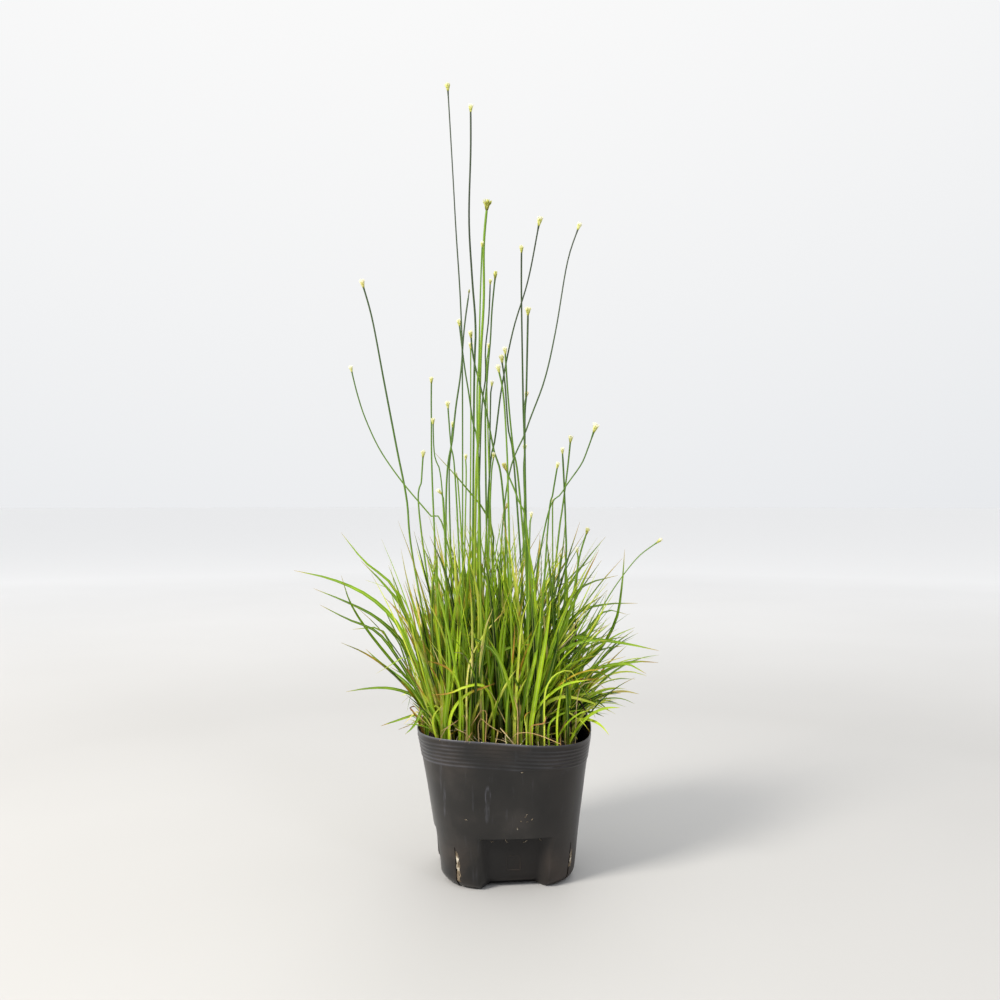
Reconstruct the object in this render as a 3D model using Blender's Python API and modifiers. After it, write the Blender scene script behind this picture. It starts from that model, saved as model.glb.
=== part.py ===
"""Potted pipewort: a soft black nursery pot of soil, leaf tufts on their crowns and tall flower stalks.

Metres, +Z up. The origin is the middle of the pot's flat underside, and the camera's side is -Y.
Sizes are in millimetres times MM.
"""

import math
import random

import bmesh
import bpy
import numpy as np
from mathutils import Vector

MM = 0.001

# The pot: a tapered, squarish wall with four recessed panels and four corner feet at its base.
POT_HEIGHT = 88 * MM
BASE_HALF_WIDTH = 40.3 * MM
RIM_HALF_WIDTH = 52.3 * MM
SQUARENESS = 3.0
WALL = 0.8 * MM
BASE_YAW = math.radians(7.5)
RIM_YAW = math.radians(-3)
WALL_BOW = 1.25
RIM_SAG = 3.3 * MM
SAG_BEARING = math.radians(46)
SAG_SPREAD = math.radians(75)
PANEL_HEIGHT = 30 * MM
PANEL_DEPTH = 5.5 * MM
PANEL_HALF_ANGLES = [math.radians(angle) for angle in (25.3, 18)]
PANEL_EDGE = math.radians(7.4)
FOOT_ROUNDING = 6 * MM
PANEL_LIFT = 2.2 * MM
CORNER_EDGE = math.radians(41)
SLIT_WIDTH = 1.7 * MM
SLIT_TOP = 24 * MM
SLIT_REACH = 9 * MM

# The root ball stands clear of the wall, with a wider gap on the right.
SOIL_TOP = 80 * MM
SOIL_DOME = 1.6 * MM
SOIL_CLEARANCE = 0.6 * MM
DRY_GAP = 9 * MM
DRY_GAP_DEPTH = 16 * MM
DRY_GAP_BEARING = math.radians(84)
DRY_GAP_SPREAD = math.radians(44)
RESTING_GAP = 0.35 * MM

# Sight lines: a plant point is given as it is seen from the front, in the plane of the pot's axis.
EYE = Vector((-3.1, -612, 223)) * MM

# The crowns stand on a spiral, a golden angle apart.
GOLDEN_ANGLE = math.radians(137.508)
CROWN_COUNT = 14
CROWN_SPREAD = 38 * MM
CROWN_MIDDLE = Vector((-5, 0, 0)) * MM
CROWN_RADIUS = 3.1 * MM
CROWN_NECK = 1.9 * MM
CROWN_HEIGHT = 9 * MM

STALK_RADIUS = 0.62
STALK_RADIUS_AT_HEAD = 0.5
STALK_TOLERANCE = 0.7 * MM
ROOT_LIMIT = 41 * MM
DEPTH_LIMIT = 34 * MM
STALK_TRIES = 3000
# Distance below a flower head's top, and the radius there, both for a head of scale 1.
HEAD_PROFILE = ((5.6, 0.5), (3.9, 1.15), (1.4, 1.6), (0, 0.9))

LEAVES_PER_CROWN = 10
LEAF_TRIES = 90
LEAF_STATIONS = 5
LEAF_KEEL = 0.28
# How far the short leaves' blades lean out to the left, to the right, and to the front and back.
LEAF_REACHES = (-57 * MM, 67 * MM, 76 * MM)
TIP_SHIFTS = [shift * MM for shift in (0, 3, -3, 6, -6, 9, -9, 12, -12)]
CLEARANCE = 0.35 * MM
SEED = 7

# Each stalk from its head down: (across, up) in mm as seen, then the root's across, the head's scale
# and the stalk's girth.
STALKS = (
    (((-35, 475), (-32, 424), (-30, 388), (-27, 339), (-26, 284)), -24, 1.0, 0.8),
    (((-21, 462), (-21, 436), (-22, 394), (-20, 357), (-18, 327), (-19, 284)), -18, 1.0, 1.15),
    (((-11, 403), (-13, 378), (-13, 345), (-15, 308), (-16, 266), (-18, 223)), -17, 1.25, 1.5),
    (((-14, 379), (-15, 351), (-16, 308), (-17, 266)), -12, 0.75, 0.9),
    (((21, 393), (14, 357), (5, 327), (-2, 292), (-6, 261), (-10, 231)), -17, 1.15, 0.95),
    (((45, 390), (38, 368), (31, 327), (24, 296), (13, 266), (0, 223)), -9, 1.0, 0.9),
    (((10, 376), (10, 345), (11, 284), (12, 223)), 10, 0.95, 1.1),
    (((14, 338), (13, 290), (12, 253)), 16, 1.0, 1.15),
    (((13, 287), (12, 260)), 13, 0.85, 1.0),
    (((12, 255), (12, 223)), 19, 0.85, 1.0),
    (((-6, 360), (-8, 339), (-9, 320), (-11, 296), (-12, 260)), -10, 1.0, 1.0),
    (((-9, 356), (-10, 334), (-12, 315), (-12, 297), (-15, 260)), -21, 0.7, 0.9),
    (((-10, 317), (-11, 284)), -5, 0.7, 0.9),
    (((-22, 350), (-25, 327), (-27, 301), (-30, 280), (-32, 261), (-36, 223)), -36, 0.6, 1.05),
    (((-28, 331), (-25, 306), (-22, 287), (-20, 272), (-16, 241)), -11, 0.95, 1.0),
    (((-21, 324), (-19, 308), (-13, 284), (-7, 254), (-1, 223)), 9, 0.95, 1.05),
    (((-21, 317), (-21, 284), (-21, 247)), -24, 0.9, 0.85),
    (((0, 314), (2, 284), (5, 254), (9, 226)), 20, 0.95, 1.1),
    (((-2, 309), (0, 293), (2, 266), (6, 238)), 15, 1.05, 1.1),
    (((-4, 303), (-1, 287), (1, 256), (2, 223)), 4, 1.0, 1.05),
    (((-8, 294), (-9, 277)), -13, 0.8, 1.0),
    (((-87, 355), (-81, 333), (-74, 296), (-66, 254), (-60, 223), (-56, 186)), -34, 1.05, 1.1),
    (((-94, 303), (-90, 287), (-85, 272), (-76, 253), (-62, 233), (-46, 214), (-36, 200)), -11, 0.8, 0.8),
    (((-45, 296), (-45, 273), (-44, 223)), -33, 0.8, 0.95),
    (((-44, 271), (-43, 250), (-38, 223)), -29, 0.8, 0.8),
    (((-35, 281), (-33, 256), (-30, 229)), -24, 0.85, 0.9),
    (((-32, 269), (-33, 254), (-34, 223)), -31, 0.8, 0.95),
    (((-50, 251), (-51, 235), (-52, 211)), -35, 0.95, 1.05),
    (((-40, 228), (-37, 211)), -32, 0.8, 0.9),
    (((-24, 249), (-24, 223)), -27, 0.8, 0.95),
    (((-30, 238), (-28, 223)), -22, 0.9, 1.0),
    (((-7, 250), (-9, 223)), -12, 0.75, 0.9),
    (((0, 243), (2, 238), (8, 223), (14, 199)), 24, 1.0, 1.0),
    (((1, 219), (0, 205)), -1, 0.8, 0.9),
    (((55, 267), (50, 253), (46, 244), (35, 228), (24, 205)), 6, 1.15, 0.85),
    (((40, 260), (38, 241), (35, 218), (32, 195)), 24, 1.0, 1.1),
    (((35, 253), (36, 233), (37, 205), (37, 180)), 33, 0.8, 1.1),
    (((32, 244), (29, 226), (26, 205)), 15, 0.8, 0.95),
    (((29, 222), (29, 205)), 27, 0.7, 0.85),
    (((16, 214), (15, 199)), 12, 0.7, 0.9),
    (((50, 204), (45, 186), (42, 158)), 30, 0.85, 1.1),
    (((44, 192), (43, 174)), 26, 0.75, 1.0),
    (((94, 198), (82, 189), (72, 177), (62, 162), (52, 142)), 31, 0.9, 0.68),
    (((34, 189), (33, 175)), 29, 0.7, 0.85),
)

# The long leaves that stand out of the clump: (across, up) in mm as seen from the tip down, then the
# tip's depth and the width in mm.
LONG_LEAVES = (
    (((-129, 180), (-101, 173), (-76, 159), (-61, 138)), -6, 2.6),
    (((-117, 169), (-88, 157), (-77, 150), (-67, 142)), 14, 2.4),
    (((-100, 203), (-88, 188), (-75, 174), (-65, 164)), 22, 2.1),
    (((-113, 159), (-88, 146), (-72, 136)), -22, 1.9),
    (((-100, 177), (-96, 164), (-88, 149), (-65, 120)), -14, 2.1),
    (((-85, 132), (-72, 120), (-60, 111)), 6, 2.4),
    (((-97, 106), (-84, 108), (-69, 108), (-57, 104)), -10, 2.0),
    (((-44, 253), (-34, 241), (-21, 227), (-8, 205)), 8, 2.4),
    (((94, 131), (83, 134), (67, 136), (51, 138), (36, 134)), -14, 2.5),
    (((86, 117), (75, 123), (59, 121), (45, 114)), -24, 2.4),
    (((67, 112), (62, 116), (48, 117)), 2, 2.1),
    (((64, 94), (56, 100), (45, 101)), -16, 1.9),
    (((81, 160), (59, 159), (44, 153)), 12, 2.1),
    (((73, 193), (71, 168), (68, 151), (58, 132)), -4, 2.6),
    (((69, 177), (51, 172), (39, 164)), 20, 2.2),
    (((54, 187), (47, 183), (36, 170)), 28, 2.3),
    (((62, 137), (49, 137), (35, 131), (26, 124), (21, 113)), -38, 3.6),
    (((16, 135), (3, 133), (-13, 123), (-29, 103)), -41, 3.0),
    (((60, 165), (40, 150), (29, 128)), -4, 2.8),
    (((75, 153), (66, 156), (56, 152), (43, 134)), 26, 2.3),
    (((75, 140), (58, 136), (42, 127)), 16, 2.1),
    (((73, 134), (60, 132), (40, 121)), -2, 2.2),
    (((-88, 186), (-65, 161), (-54, 135)), 18, 2.4),
    (((-93, 144), (-82, 146), (-73, 141), (-58, 116)), 4, 2.0),
    (((55, 90), (48, 106), (37, 105)), -8, 1.9),
)


def clear_scene():
    for leftover in list(bpy.data.objects):
        bpy.data.objects.remove(leftover)


def new_collection(name):
    made = bpy.data.collections.new(name)
    bpy.context.scene.collection.children.link(made)
    return made


def new_material(name, colour, roughness):
    made = bpy.data.materials.new(name)
    made.use_nodes = True
    shader = made.node_tree.nodes["Principled BSDF"]
    shader.inputs["Base Color"].default_value = (*colour, 1)
    shader.inputs["Roughness"].default_value = roughness
    shader.inputs["Metallic"].default_value = 0
    return made


def add_object(name, data, collection, material):
    made = bpy.data.objects.new(name, data)
    collection.objects.link(made)
    data.materials.append(material)
    return made


def mesh_from(bm, name):
    bmesh.ops.recalc_face_normals(bm, faces=bm.faces)
    mesh = bpy.data.meshes.new(name)
    bm.to_mesh(mesh)
    bm.free()
    mesh.shade_smooth()
    mesh.set_sharp_from_angle(angle=math.radians(40))
    return mesh


def hide_cutter(cutter):
    cutter.hide_render = True
    cutter.display_type = "WIRE"


def smooth_step(value):
    value = min(max(value, 0), 1)
    return value * value * (3 - 2 * value)


def angle_between(first, second):
    """The smaller angle between two bearings."""
    return abs((first - second + math.pi) % (2 * math.pi) - math.pi)


def plan_point(bearing, height, inset):
    """A point of the pot's outer wall, moved inwards. The bearing runs from the front towards the right."""
    share = height / POT_HEIGHT
    half_width = BASE_HALF_WIDTH + (RIM_HALF_WIDTH - BASE_HALF_WIDTH) * share**WALL_BOW
    turned = bearing - BASE_YAW - (RIM_YAW - BASE_YAW) * share
    spread = abs(math.sin(turned)) ** SQUARENESS + abs(math.cos(turned)) ** SQUARENESS
    radius = half_width / spread ** (1 / SQUARENESS)
    quarter = round((bearing - BASE_YAW) / (math.pi / 2))
    from_panel = abs(bearing - BASE_YAW - quarter * math.pi / 2)
    in_panel = smooth_step((PANEL_HALF_ANGLES[quarter % 2] - from_panel) / PANEL_EDGE + 0.5)
    if height < PANEL_HEIGHT:
        radius -= PANEL_DEPTH * in_panel
    if height < FOOT_ROUNDING:
        missing = 1 - height / FOOT_ROUNDING
        radius -= FOOT_ROUNDING * (1 - math.sqrt(1 - missing * missing))
    radius -= inset
    lift = PANEL_LIFT * in_panel * max(0, 1 - height / (3 * FOOT_ROUNDING))
    sag = RIM_SAG * share**4 * smooth_step(1 - angle_between(bearing, SAG_BEARING) / SAG_SPREAD)
    return Vector((radius * math.sin(bearing), -radius * math.cos(bearing), height + lift - sag))


def wall_bearings():
    """Bearings of the wall's vertices, closest together at the edges of each quarter's panel."""
    bearings = []
    for quarter in range(4):
        inner = PANEL_HALF_ANGLES[quarter % 2] - PANEL_EDGE / 2
        outer = inner + PANEL_EDGE
        half = (inner / 2, inner, outer, (outer + CORNER_EDGE) / 2, CORNER_EDGE)
        middle = BASE_YAW + quarter * math.pi / 2
        bearings += [middle + offset for offset in (*[-b for b in reversed(half)], 0, *half)]
    return bearings


def wall_ring(bm, height):
    return [bm.verts.new(plan_point(bearing, height, 0)) for bearing in wall_bearings()]


def bridge(bm, lower, upper):
    count = len(lower)
    for i in range(count):
        following = (i + 1) % count
        bm.faces.new((lower[i], lower[following], upper[following], upper[i]))


def build_pot(parts, cutters, material):
    """One open surface from the underside's middle up to the rim, given its wall by Solidify."""
    heights = (0, 1.5 * MM, FOOT_ROUNDING, 16 * MM, PANEL_HEIGHT - 0.5 * MM, PANEL_HEIGHT + 0.3 * MM,
               50 * MM, 72 * MM, POT_HEIGHT)
    bm = bmesh.new()
    rings = [wall_ring(bm, height) for height in heights]
    floor_ring = [bm.verts.new((v.co.x * 0.8, v.co.y * 0.8, 0)) for v in rings[0]]
    middle = bm.verts.new((0, 0, 0))
    for i, vert in enumerate(floor_ring):
        bm.faces.new((middle, floor_ring[(i + 1) % len(floor_ring)], vert))
    for lower, upper in zip([floor_ring, *rings], rings):
        bridge(bm, lower, upper)
    pot = add_object("nursery_pot", mesh_from(bm, "nursery_pot"), parts, material)
    wall = pot.modifiers.new("wall", "SOLIDIFY")
    wall.thickness = WALL
    wall.offset = -1
    wall.use_even_offset = True
    for corner in range(4):
        bearing = BASE_YAW + math.radians(45 + 90 * corner)
        slit = build_slit_cutter(f"slit_cutter_{corner + 1}", bearing, cutters, material)
        cut = pot.modifiers.new(f"drainage_slit_{corner + 1}", "BOOLEAN")
        cut.operation = "DIFFERENCE"
        cut.solver = "EXACT"
        cut.object = slit
    return pot


def build_slit_cutter(name, bearing, cutters, material):
    """A thin upright plate across one foot, from under the floor to the slit's top."""
    bm = bmesh.new()
    bmesh.ops.create_cube(bm, size=1)
    below = 3 * MM
    reach = SLIT_REACH * 2
    for vert in bm.verts:
        vert.co.x *= SLIT_WIDTH
        vert.co.y = vert.co.y * reach - BASE_HALF_WIDTH - 1 * MM
        vert.co.z = (vert.co.z + 0.5) * (SLIT_TOP + below) - below
        vert.co.x *= 1.0 if vert.co.z < 0 else 0.35
    slit = add_object(name, mesh_from(bm, name), cutters, material)
    slit.rotation_euler.z = bearing
    hide_cutter(slit)
    return slit


def soil_height(x, y):
    """The gently mounded surface that the crowns and stalks stand on."""
    across = math.hypot(x, y) / RIM_HALF_WIDTH
    ripple = 0.5 * MM * math.sin(x / (9 * MM)) * math.cos(y / (11 * MM) + 0.7)
    return SOIL_TOP + SOIL_DOME * (1 - across * across) + ripple


def dry_gap(bearing, height):
    """How far the root ball has shrunk from the wall here."""
    side = smooth_step(1 - angle_between(bearing, DRY_GAP_BEARING) / DRY_GAP_SPREAD)
    level = smooth_step(1 - (SOIL_TOP - height) / DRY_GAP_DEPTH)
    return DRY_GAP * side * level


def build_soil(parts, material):
    inset = WALL + SOIL_CLEARANCE
    ledge_top = PANEL_HEIGHT + WALL + 0.8 * MM
    levels = (FOOT_ROUNDING + 0.5 * MM, ledge_top, ledge_top + 0.8 * MM, SOIL_TOP - DRY_GAP_DEPTH,
              SOIL_TOP - 2 * MM)
    bm = bmesh.new()
    rings = []
    for level in levels:
        ring = []
        for bearing in wall_bearings():
            clearance = inset + 0.5 * MM + dry_gap(bearing, level)
            point = plan_point(bearing, level, clearance)
            if level <= ledge_top:
                recessed = plan_point(bearing, PANEL_HEIGHT - 1 * MM, clearance)
                scale = min(1, recessed.xy.length / point.xy.length)
                point.x *= scale
                point.y *= scale
            ring.append(bm.verts.new(point))
        rings.append(ring)
    for lower, upper in zip(rings, rings[1:]):
        bridge(bm, lower, upper)
    shoulder = rings[-1]
    for share in (0.93, 0.5):
        inner = []
        for vert in rings[-1]:
            x, y = vert.co.x * share, vert.co.y * share
            inner.append(bm.verts.new((x, y, soil_height(x, y))))
        bridge(bm, shoulder, inner)
        shoulder = inner
    peak = bm.verts.new((0, 0, soil_height(0, 0)))
    for i, vert in enumerate(shoulder):
        bm.faces.new((peak, vert, shoulder[(i + 1) % len(shoulder)]))
    underside = [bm.verts.new((v.co.x * 0.6, v.co.y * 0.6, WALL + RESTING_GAP)) for v in rings[0]]
    bridge(bm, underside, rings[0])
    bm.faces.new(underside)
    return add_object("potting_soil", mesh_from(bm, "potting_soil"), parts, material)


def sight_point(across, up, depth):
    """The point at this depth that is seen where (across, up) lies in the plane of the pot's axis."""
    in_plane = Vector((across * MM, 0, up * MM))
    return EYE + (in_plane - EYE) * ((depth - EYE.y) / -EYE.y)


def smooth_path(corners, count):
    """Points evenly spaced along a Catmull-Rom curve through the corners."""
    padded = [corners[0] * 2 - corners[1], *corners, corners[-1] * 2 - corners[-2]]
    fine = []
    pieces = 12
    for before, start, end, after in zip(padded, padded[1:], padded[2:], padded[3:]):
        for step in range(pieces):
            t = step / pieces
            fine.append(0.5 * (2 * start + (end - before) * t
                               + (2 * before - 5 * start + 4 * end - after) * t * t
                               + (3 * start - before - 3 * end + after) * t * t * t))
    fine.append(corners[-1])
    travelled = [0]
    for first, second in zip(fine, fine[1:]):
        travelled.append(travelled[-1] + (second - first).length)
    wanted = np.linspace(0, travelled[-1], count)
    axes = [np.interp(wanted, travelled, [p[axis] for p in fine]) for axis in range(3)]
    return [Vector(point) for point in zip(*axes)]


def thinned(path):
    """The fewest of the path's points that keep its bends."""
    if len(path) < 3:
        return path
    chord = (path[-1] - path[0]).normalized()
    misses = [(p - path[0] - chord * (p - path[0]).dot(chord)).length for p in path]
    worst = misses.index(max(misses))
    if misses[worst] < STALK_TOLERANCE:
        return [path[0], path[-1]]
    return thinned(path[:worst + 1]) + thinned(path[worst:])[1:]


def segment_gaps(starts, ends, other_starts, other_ends):
    """The shortest distance from each segment to each of the others."""
    along = (ends - starts)[:, None]
    other_along = (other_ends - other_starts)[None]
    offset = starts[:, None] - other_starts[None]
    a = (along * along).sum(-1)
    b = (along * other_along).sum(-1)
    c = (along * offset).sum(-1)
    e = (other_along * other_along).sum(-1)
    f = (other_along * offset).sum(-1)
    spread = np.maximum(a * e - b * b, 1e-18)
    s = np.clip((b * f - c * e) / spread, 0, 1)
    t = np.clip((b * s + f) / e, 0, 1)
    s = np.clip((b * t - c) / a, 0, 1)
    apart = offset + along * s[..., None] - other_along * t[..., None]
    return np.sqrt((apart * apart).sum(-1))


class Thicket:
    """The stalks and leaves placed so far, as thick segments, for finding room for the next one."""

    def __init__(self):
        self.starts = np.empty((0, 3))
        self.ends = np.empty((0, 3))
        self.radii = np.empty(0)
        self.owners = np.empty(0, int)
        self.at_root = np.empty(0, bool)

    def segments(self, path, radii):
        points = np.array([tuple(p) for p in path])
        widest = np.maximum(radii[:-1], radii[1:])
        return points[:-1], points[1:], widest

    def has_room(self, path, radii, owner):
        """A leaf may touch others at its own crown, where they are one growth, but nothing else."""
        if not len(self.owners):
            return True
        starts, ends, widest = self.segments(path, np.array(radii))
        gaps = segment_gaps(starts, ends, self.starts, self.ends)
        needed = widest[:, None] + self.radii[None] + CLEARANCE
        joined = np.repeat((self.at_root & (self.owners == owner))[None], len(widest), axis=0)
        joined[0] |= self.owners == owner
        return bool((joined | (gaps > needed)).all())

    def add(self, path, radii, owner):
        starts, ends, widest = self.segments(path, np.array(radii))
        self.starts = np.concatenate([self.starts, starts])
        self.ends = np.concatenate([self.ends, ends])
        self.radii = np.concatenate([self.radii, widest])
        self.owners = np.concatenate([self.owners, np.full(len(widest), owner)])
        self.at_root = np.concatenate([self.at_root, np.arange(len(widest)) == 0])


def on_soil(x, y, radius):
    """A point just above the soil, where a round foot of this radius clears its slope."""
    around = [soil_height(x + radius * dx, y + radius * dy) for dx in (-1, 0, 1) for dy in (-1, 0, 1)]
    return Vector((x, y, max(around) + RESTING_GAP))


def crown_places():
    places = []
    for i in range(CROWN_COUNT):
        radius = CROWN_SPREAD * math.sqrt((i + 0.5) / CROWN_COUNT)
        bearing = i * GOLDEN_ANGLE
        x = CROWN_MIDDLE.x + radius * math.cos(bearing)
        y = CROWN_MIDDLE.y + radius * math.sin(bearing)
        places.append(on_soil(x, y, CROWN_RADIUS))
    return places


def stalk_path(seen, root, head_depth):
    """The whole stalk from its root to its head's top."""
    top_up = seen[0][1]
    corners = [root]
    for across, up in reversed(seen):
        share = (up * MM - root.z) / (top_up * MM - root.z)
        corners.append(sight_point(across, up, root.y + (head_depth - root.y) * share))
    return thinned(smooth_path(corners, 40))


def with_head(path, head_scale, girth):
    """The stalk's points and radii, ending in the swelling of the flower head around its end."""
    direction = (path[-1] - path[-2]).normalized()
    neck = HEAD_PROFILE[0][0] * head_scale * MM
    top = path[-1] + direction * neck / 2
    points = [p for p in path[:-1] if (top - p).length > 2 * neck]
    radii = []
    for i in range(len(points)):
        share = i / (len(path) - 1)
        radii.append((STALK_RADIUS + (STALK_RADIUS_AT_HEAD - STALK_RADIUS) * share) * girth * MM)
    for below, radius in HEAD_PROFILE:
        points.append(top - direction * below * head_scale * MM)
        radii.append(radius * head_scale * MM)
    return points, radii


def place_stalks(thicket, crowns):
    """Finds each stalk's depth at its root and its head, so that it clears those before it."""
    draw = random.Random(SEED)
    placed = []
    for number, (seen, root_across, head_scale, girth) in enumerate(STALKS):
        root_x = root_across * MM
        limit = math.sqrt(max(0, ROOT_LIMIT**2 - (root_x - CROWN_MIDDLE.x) ** 2))
        for _ in range(STALK_TRIES):
            root = on_soil(root_x + draw.uniform(-3, 3) * MM, draw.uniform(-limit, limit), 1 * MM)
            lean = draw.uniform(-0.12, 0.12) * (seen[0][1] * MM - root.z)
            head_depth = min(max(root.y + lean, -DEPTH_LIMIT), DEPTH_LIMIT)
            near_crown = min((root.xy - crown.xy).length for crown in crowns)
            if near_crown < CROWN_RADIUS + 1.6 * MM:
                continue
            points, radii = with_head(stalk_path(seen, root, head_depth), head_scale, girth)
            if thicket.has_room(points, radii, number):
                thicket.add(points, radii, number)
                placed.append((points, radii))
                break
        else:
            raise RuntimeError(f"no room for flower stalk {number + 1}")
    return placed


def leaf_width(share):
    """A blade's width along its length, as a share of its greatest."""
    return (0.72 + 0.28 * math.sin(math.pi * min(share * 1.6, 1) / 2)) * (1 - share**3)


def leaf_radii(count, width):
    return [max(width * leaf_width(i / (count - 1)) / 2, 0.12) * MM for i in range(count)]


def grown_leaf(root, bearing, lean, droop, length, count):
    """A blade that leaves its crown at the angle lean from upright and bends over by droop more."""
    outward = Vector((math.cos(bearing), math.sin(bearing), 0))
    path = [root.copy()]
    step = length / (count - 1)
    for i in range(count - 1):
        share = (i + 0.5) / (count - 1)
        angle = lean + droop * share**1.4
        path.append(path[-1] + (outward * math.sin(angle) + Vector((0, 0, 1)) * math.cos(angle)) * step)
    return path


def leaf_root(crown, bearing):
    """Where a leaf starts, inside its crown's neck."""
    out = 0.9 * MM
    return crown + Vector((out * math.cos(bearing), out * math.sin(bearing), 3 * MM))


def long_leaf_paths(seen, tip_depth, crowns):
    """Ways to grow a long leaf, the best first: its tip a little nearer or farther, from each crown."""
    for shift in TIP_SHIFTS:
        depth = tip_depth * MM + shift
        tip, foot = (sight_point(*place, depth) for place in (seen[0], seen[-1]))
        for number in sorted(range(CROWN_COUNT), key=lambda n: (crowns[n].xy - foot.xy).length):
            crown = crowns[number]
            root = leaf_root(crown, math.atan2(tip.y - crown.y, tip.x - crown.x))
            corners = [root]
            for i, (across, up) in enumerate(reversed(seen)):
                share = (i + 1) / len(seen)
                corners.append(sight_point(across, up, root.y + (depth - root.y) * share))
            yield number, smooth_path(corners, LEAF_STATIONS + 2)


def place_long_leaves(thicket, crowns):
    leaves = {number: [] for number in range(CROWN_COUNT)}
    for seen, tip_depth, width in LONG_LEAVES:
        for number, path in long_leaf_paths(seen, tip_depth, crowns):
            radii = leaf_radii(len(path), width)
            if len(leaves[number]) < 3 and thicket.has_room(path, radii, len(STALKS) + number):
                thicket.add(path, radii, len(STALKS) + number)
                leaves[number].append((path, radii))
                break
        else:
            raise RuntimeError(f"no room for the long leaf seen at {seen[0]}")
    return leaves


def stays_in_clump(path):
    """Whether a blade keeps to the upright clump, out of which only the long leaves stand."""
    left, right, depth = LEAF_REACHES
    return all(left < point.x < right and abs(point.y) < depth for point in path)


def place_leaves(thicket, crowns):
    """Fills each crown with blades a golden angle apart, outer crowns leaning outwards."""
    leaves = place_long_leaves(thicket, crowns)
    draw = random.Random(SEED + 1)
    for number, crown in enumerate(crowns):
        from_middle = crown.xy - CROWN_MIDDLE.xy
        outness = from_middle.length / CROWN_SPREAD
        outward_bearing = math.atan2(from_middle.y, from_middle.x)
        owner = len(STALKS) + number
        wanted = LEAVES_PER_CROWN - len(leaves[number]) // 2
        start = draw.uniform(0, math.tau)
        for k in range(wanted):
            for _ in range(LEAF_TRIES):
                bearing = start + k * GOLDEN_ANGLE + draw.uniform(-0.5, 0.5)
                facing = math.cos(bearing - outward_bearing) * outness
                outward = max(facing, 0)
                rightward = max(math.cos(bearing), 0) * outward
                lean = math.radians(draw.uniform(3, 11) + 24 * outward * draw.uniform(0.4, 1.2))
                droop = math.radians(draw.uniform(8, 30) + (50 * outward + 45 * rightward) * draw.random())
                length = draw.uniform(80, 138) * (1 - 0.2 * outward - 0.15 * rightward) * MM
                width = draw.uniform(1.8, 3.0)
                path = grown_leaf(leaf_root(crown, bearing), bearing, lean, droop, length, LEAF_STATIONS)
                radii = leaf_radii(LEAF_STATIONS, width)
                if stays_in_clump(path) and thicket.has_room(path, radii, owner):
                    thicket.add(path, radii, owner)
                    leaves[number].append((path, radii))
                    break
    return leaves


def build_stalk(name, points, radii, parts, material):
    """A swept tube whose radius swells into the flower head at its end."""
    curve = bpy.data.curves.new(name, "CURVE")
    curve.dimensions = "3D"
    curve.bevel_depth = 1 * MM
    curve.bevel_resolution = 0
    curve.use_fill_caps = True
    spline = curve.splines.new("POLY")
    spline.points.add(len(points) - 1)
    for target, point, radius in zip(spline.points, points, radii):
        target.co = (*point, 1)
        target.radius = radius / MM
    return add_object(name, curve, parts, material)


def add_blade(bm, path, radii):
    """A keeled blade: two edges and a keel under them at each station, closed at the tip."""
    side = Vector((path[-1].y - path[0].y, path[0].x - path[-1].x, 0)).normalized()
    stations = []
    for i, (point, radius) in enumerate(zip(path[:-1], radii)):
        direction = (path[i + 1] - path[max(i - 1, 0)]).normalized()
        under = direction.cross(side).normalized()
        keel = point + under * radius * 2 * LEAF_KEEL
        stations.append([bm.verts.new(p) for p in (point + side * radius, point - side * radius, keel)])
    tip = bm.verts.new(path[-1])
    for lower, upper in zip(stations, stations[1:]):
        bridge(bm, lower, upper)
    bm.faces.new(stations[0])
    for i in range(3):
        bm.faces.new((stations[-1][i], stations[-1][(i + 1) % 3], tip))


def build_tuft(name, crown, leaves, parts, cutters, material):
    """A crown and its blades, joined in one growth."""
    crown_bm = bmesh.new()
    bmesh.ops.create_cone(crown_bm, cap_ends=True, segments=7, radius1=CROWN_RADIUS, radius2=CROWN_NECK,
                          depth=CROWN_HEIGHT)
    tuft = add_object(name, mesh_from(crown_bm, name), parts, material)
    tuft.location = crown + Vector((0, 0, CROWN_HEIGHT / 2))
    blades_bm = bmesh.new()
    for path, radii in leaves:
        add_blade(blades_bm, path, radii)
    blades = add_object(f"{name}_blades", mesh_from(blades_bm, f"{name}_blades"), cutters, material)
    hide_cutter(blades)
    join = tuft.modifiers.new("blades", "BOOLEAN")
    join.operation = "UNION"
    join.solver = "EXACT"
    join.object = blades
    join.use_self = True
    return tuft


def main():
    clear_scene()
    parts = new_collection("potted_pipewort")
    helpers = new_collection("helpers")
    black_plastic = new_material("black_polyethylene", (0.022, 0.022, 0.024), 0.42)
    soil = new_material("peat_soil", (0.035, 0.022, 0.014), 0.95)
    leaf_green = new_material("leaf_green", (0.18, 0.32, 0.03), 0.5)
    stalk_green = new_material("stalk_green", (0.10, 0.20, 0.05), 0.5)

    build_pot(parts, helpers, black_plastic)
    build_soil(parts, soil)
    crowns = crown_places()
    thicket = Thicket()
    stalks = place_stalks(thicket, crowns)
    tufts = place_leaves(thicket, crowns)
    for number, (points, radii) in enumerate(stalks):
        build_stalk(f"flower_stalk_{number + 1:02d}", points, radii, parts, stalk_green)
    for number, crown in enumerate(crowns):
        build_tuft(f"leaf_tuft_{number + 1:02d}", crown, tufts[number], parts, helpers, leaf_green)


main()
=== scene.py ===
import math
import random
from functools import partial

import bmesh
import bpy
import numpy as np
from mathutils import Matrix, Vector, noise


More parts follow.
